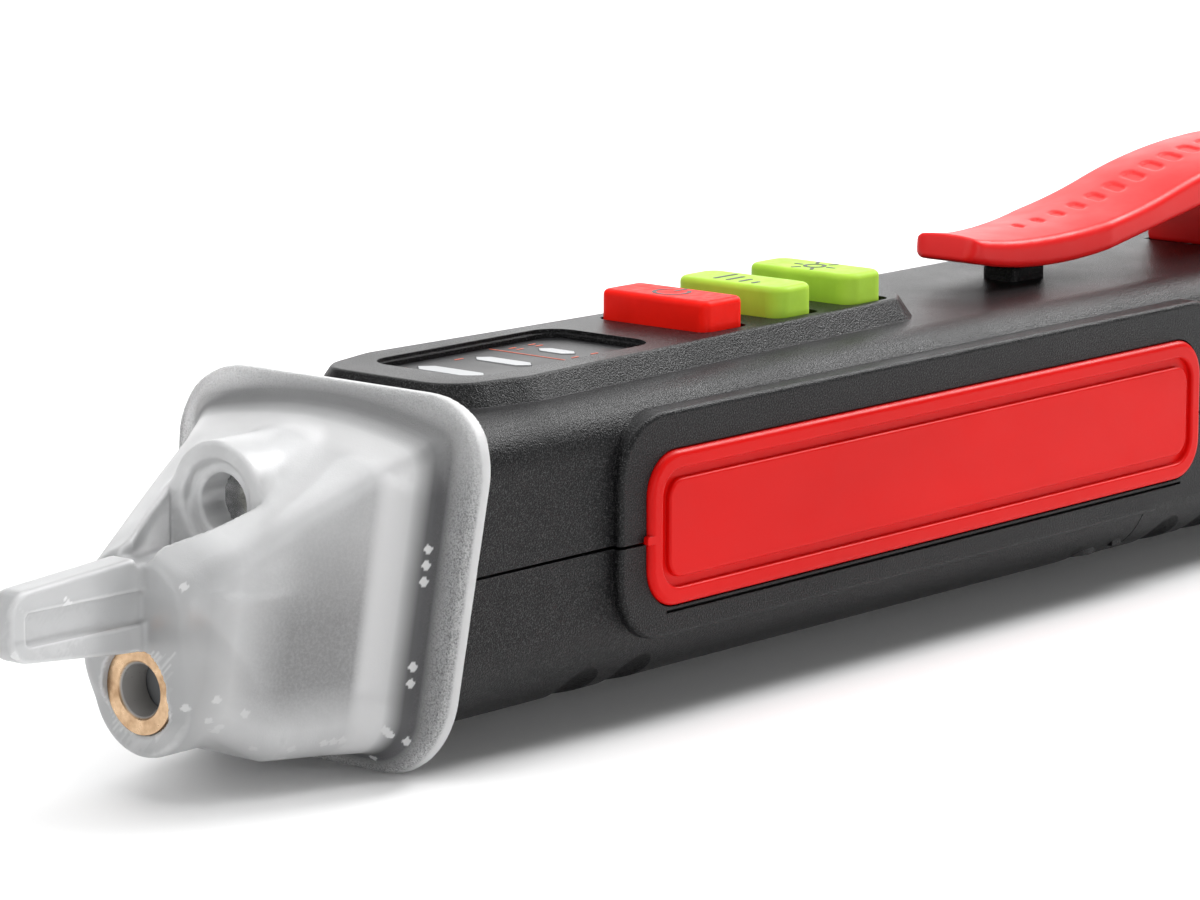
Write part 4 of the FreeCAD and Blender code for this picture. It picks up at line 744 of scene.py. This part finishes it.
def clip_outline():
    """Side view of the clip: the arm's underside, the post, the foot, the tail and the back."""
    under = [(x, under_at(x)) for x in np.linspace(CLIP_TIP, CLIP_ROOT - 0.6, 36)]
    foot = BODY_TOP - 0.02
    post = [
        (CLIP_ROOT, under_at(CLIP_ROOT) - 0.25),
        (CLIP_ROOT + 0.25, 20.4),
        (CLIP_ROOT + 0.25, foot),
    ]
    rear = [(CLIP_END, foot), (CLIP_END, back_at(CLIP_END) - 5.0)]
    turn = [(144.9, back_at(141.5) - 1.7), (143.6, back_at(141.5) - 0.55)]
    back = [(x, back_at(x) + 0.2) for x in np.linspace(142.0, CLIP_TIP + 0.65, 60)]
    return under + post + rear + turn + back


SIDE = polygon_field(clip_outline(), *np.meshgrid(SIDE_X, SIDE_Z, indexing="ij"))


def side_field(x, z):
    """The clip's side-view distance, read from its grid."""
    i = np.clip((x - SIDE_X[0]) / SIDE_STEP, 0, len(SIDE_X) - 1.001)
    k = np.clip((z - SIDE_Z[0]) / SIDE_STEP, 0, len(SIDE_Z) - 1.001)
    i0, k0 = i.astype(int), k.astype(int)
    a, b = i - i0, k - k0
    return ((SIDE[i0, k0] * (1 - a) + SIDE[i0 + 1, k0] * a) * (1 - b)
            + (SIDE[i0, k0 + 1] * (1 - a) + SIDE[i0 + 1, k0 + 1] * a) * b)


def dimple_field(number, x, y, z):
    """One slanted dimple in the clip's back; the first ones are smaller."""
    at = FIRST_DIMPLE + number * DIMPLE_PITCH
    size = 0.5 + 0.5 * min(number / 6, 1.0)
    top = float(back_at(at)) + CROWN_RISE
    slope = math.atan(float(back_at(at + 0.5) - back_at(at - 0.5)))
    along = (x - at) * math.cos(slope) + (z - top) * math.sin(slope) - y * DIMPLE_SLANT
    up = (z - top) * math.cos(slope) - (x - at) * math.sin(slope)
    return both(rounded_box(along, y, 0.6 * size, 1.1 * size, 0.5 * size), -DIMPLE_DEPTH - up)


def clip_field(x, y, z):
    """The clip: narrower at its tip and foot, crowned across, with a row of faint dimples."""
    foot_inset = np.where((x > CLIP_ROOT - 0.5) & (z < 18.7), 0.6, 0.0)
    half = ramp(x, CLIP_TIP, CLIP_FULL, TIP_HALF_WIDE, CLIP_HALF_WIDE) - foot_inset
    plan = both(np.abs(y) - half, CLIP_TIP + 0.02 - x, 1.3)
    sag = ramp(x, 92.0, 104.0, 0.03, 0.014)
    crowned = (z - back_at(x) - CROWN_RISE + sag * y * y) * 0.97
    solid = both(both(side_field(x, z), crowned, 0.15), plan, 0.55)
    for number in range(DIMPLES):
        solid = soft_max(solid, -dimple_field(number, x, y, z), 0.42)
    return solid


clip = net("clip", clip_field, (86.6, -5.6, 15.9), (147.0, 5.6, 26.0))
clip.data.materials.append(MATERIALS["red_plastic"])
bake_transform(clip)
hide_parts("clip_arm", "clip_base")

# ---- printed marks, in datum mm -----------------------------------------------------------------

INK_THICK = 0.02
END_POINTS = 7  # points round each end of a stroke
ARC_PIECES = 20


def stroke_mesh(name, outlines, height, material, body):
    """Flat printed shapes from closed (x, y) outlines."""
    verts, faces = [], []
    for points in outlines:
        first = len(verts)
        count = len(points)
        verts += [(x, y, height + INK_THICK) for x, y in points] + [(x, y, height) for x, y in points]
        faces.append(list(range(first, first + count)))
        faces.append([first + count + i for i in reversed(range(count))])
        for i in range(count):
            j = (i + 1) % count
            faces.append([first + j, first + i, first + count + i, first + count + j])
    mesh = bpy.data.meshes.new(name)
    mesh.from_pydata([tuple(p) for p in to_frame(verts)], [], faces)
    piece = bpy.data.objects.new(name, mesh)
    piece.data.materials.append(material)
    bpy.context.collection.objects.link(piece)
    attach(piece, body)


def around(cx, cy, radius, angle):
    """A point on a circle."""
    return cx + math.cos(angle) * radius, cy + math.sin(angle) * radius


def bar(x0, y0, x1, y1, width):
    """A straight stroke with rounded ends."""
    heading = math.atan2(y1 - y0, x1 - x0)
    ends = []
    for cx, cy, start in ((x0, y0, heading + math.pi / 2), (x1, y1, heading - math.pi / 2)):
        for i in range(END_POINTS):
            ends.append(around(cx, cy, width / 2, start + math.pi * i / (END_POINTS - 1)))
    return ends


def arc_strokes(cx, radius, start, end, width):
    """An arc about the pen's middle line, in degrees, as a chain of quads."""
    shapes = []
    inner, outer = radius - width / 2, radius + width / 2
    for i in range(ARC_PIECES):
        a, b = (math.radians(start + (end - start) * t / ARC_PIECES) for t in (i, i + 1))
        shapes.append([
            around(cx, 0, inner, a), around(cx, 0, outer, a),
            around(cx, 0, outer, b), around(cx, 0, inner, b),
        ])
    return shapes


def power_mark(cx):
    """An open ring with a bar through its gap."""
    return arc_strokes(cx, 1.3, 35, 325, 0.32) + [bar(cx + 0.4, 0, cx + 1.6, 0, 0.32)]


def level_mark(cx):
    """Four bars of rising length."""
    front, pitch = cx - 1.2, 1.2
    return [
        bar(front, -1.8 + i * pitch, front + 0.6 * (i + 1), -1.8 + i * pitch, 0.34) for i in range(4)
    ]


def sun_mark(cx):
    """A ring with six rays."""
    rays = []
    for i in range(6):
        angle = math.radians(60 * i + 30)
        rays.append(bar(*around(cx, 0, 1.25, angle), *around(cx, 0, 1.8, angle), 0.28))
    return arc_strokes(cx, 0.75, 0, 360, 0.3) + rays


def mark_panel():
    """A line ahead of the small window, and short strokes beside the windows."""
    top = (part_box("indicator_panel")[1][2] - DATUM[2]) / MM + 0.005
    marks = [bar(39.4, -4.2, 39.4, 4.2, 0.16)]
    for x, y in ((28.9, 3.4), (28.9, -3.4), (34.4, 3.0), (34.4, -3.0)):
        marks.append(bar(x, y, x + 0.7, y, 0.2))
    for x in (40.5, 42.6):
        for y in (-3.3, -2.6, 2.6, 3.3):
            marks.append(bar(x, y, x + 0.55, y, 0.22))
    stroke_mesh("panel_marks", marks, top, printed("orange_ink", (0.62, 0.09, 0.03)), "root")


def mark_buttons():
    """A generic mark on each button."""
    grey = printed("grey_ink", (0.04, 0.04, 0.04))
    for name, shapes in (("power", power_mark), ("sensitivity", level_mark), ("light", sun_mark)):
        low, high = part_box(f"{name}_button")
        top = (high[2] - DATUM[2]) / MM + 0.002
        cx = ((low[0] + high[0]) / 2 - DATUM[0]) / MM
        stroke_mesh(f"{name}_mark", shapes(cx), top, grey, f"{name}_button")


mark_panel()
mark_buttons()

# ---- floor and light, in metres -----------------------------------------------------------------

FLOOR_HALF = 6.0
FLOOR_DROP = 0.00005
WORLD_STRENGTH = 0.22
LIGHTS = {  # place, aim, size, power in watts
    "top_light": ((0.1, 0.1, 0.9), (0, 0, 0), (1.0, 1.0), 9),
    "back_light": ((0.9, 0.75, 0.35), (0, 0, 0.02), (1.4, 0.6), 5),
    "rear_top_light": ((0.75, -0.15, 0.65), (0, 0, 0.02), (0.35, 0.35), 7.5),
    "front_light": ((-0.3, -0.9, 0.25), (-0.05, 0, 0.01), (0.65, 0.5), 2.4),
    "left_light": ((-0.75, 0.25, 0.45), (0, 0, 0.01), (0.6, 0.6), 2.6),
}


def make_floor():
    """A pale, matt table top under the pen."""
    mesh = bpy.data.meshes.new("floor")
    corners = [(x * FLOOR_HALF, y * FLOOR_HALF, 0) for x, y in ((-1, -1), (1, -1), (1, 1), (-1, 1))]
    mesh.from_pydata(corners, [], [(0, 1, 2, 3)])
    floor = bpy.data.objects.new("floor", mesh)
    floor.location.z = -FLOOR_DROP
    bpy.context.collection.objects.link(floor)
    s = Shader("floor", (0.9, 0.9, 0.9), 0.65)
    s.bump(s.noise(0.8, 3.0), 0.02, 0.2)
    s.drive("Base Color", s.blend(s.noise(60.0, 3.0), (0.89, 0.89, 0.89), (0.92, 0.92, 0.92)))
    floor.data.materials.append(s.material)


def soft_box(name, at, target, size, power):
    """A large soft light aimed at a point."""
    data = bpy.data.lights.new(name, "AREA")
    data.shape = "RECTANGLE"
    data.size, data.size_y = size
    data.energy = power
    light = bpy.data.objects.new(name, data)
    light.location = at
    light.rotation_mode = "QUATERNION"
    light.rotation_quaternion = (Vector(target) - Vector(at)).to_track_quat("-Z", "Y")
    bpy.context.collection.objects.link(light)


def make_world():
    """An even white surround, shown as it is."""
    world = bpy.data.worlds.new("world")
    world.use_nodes = True
    background = world.node_tree.nodes["Background"]
    background.inputs["Color"].default_value = (1, 1, 1, 1)
    background.inputs["Strength"].default_value = WORLD_STRENGTH
    bpy.context.scene.world = world
    bpy.context.scene.view_settings.view_transform = "Standard"


make_floor()
for name, values in LIGHTS.items():
    soft_box(name, *values)
make_world()
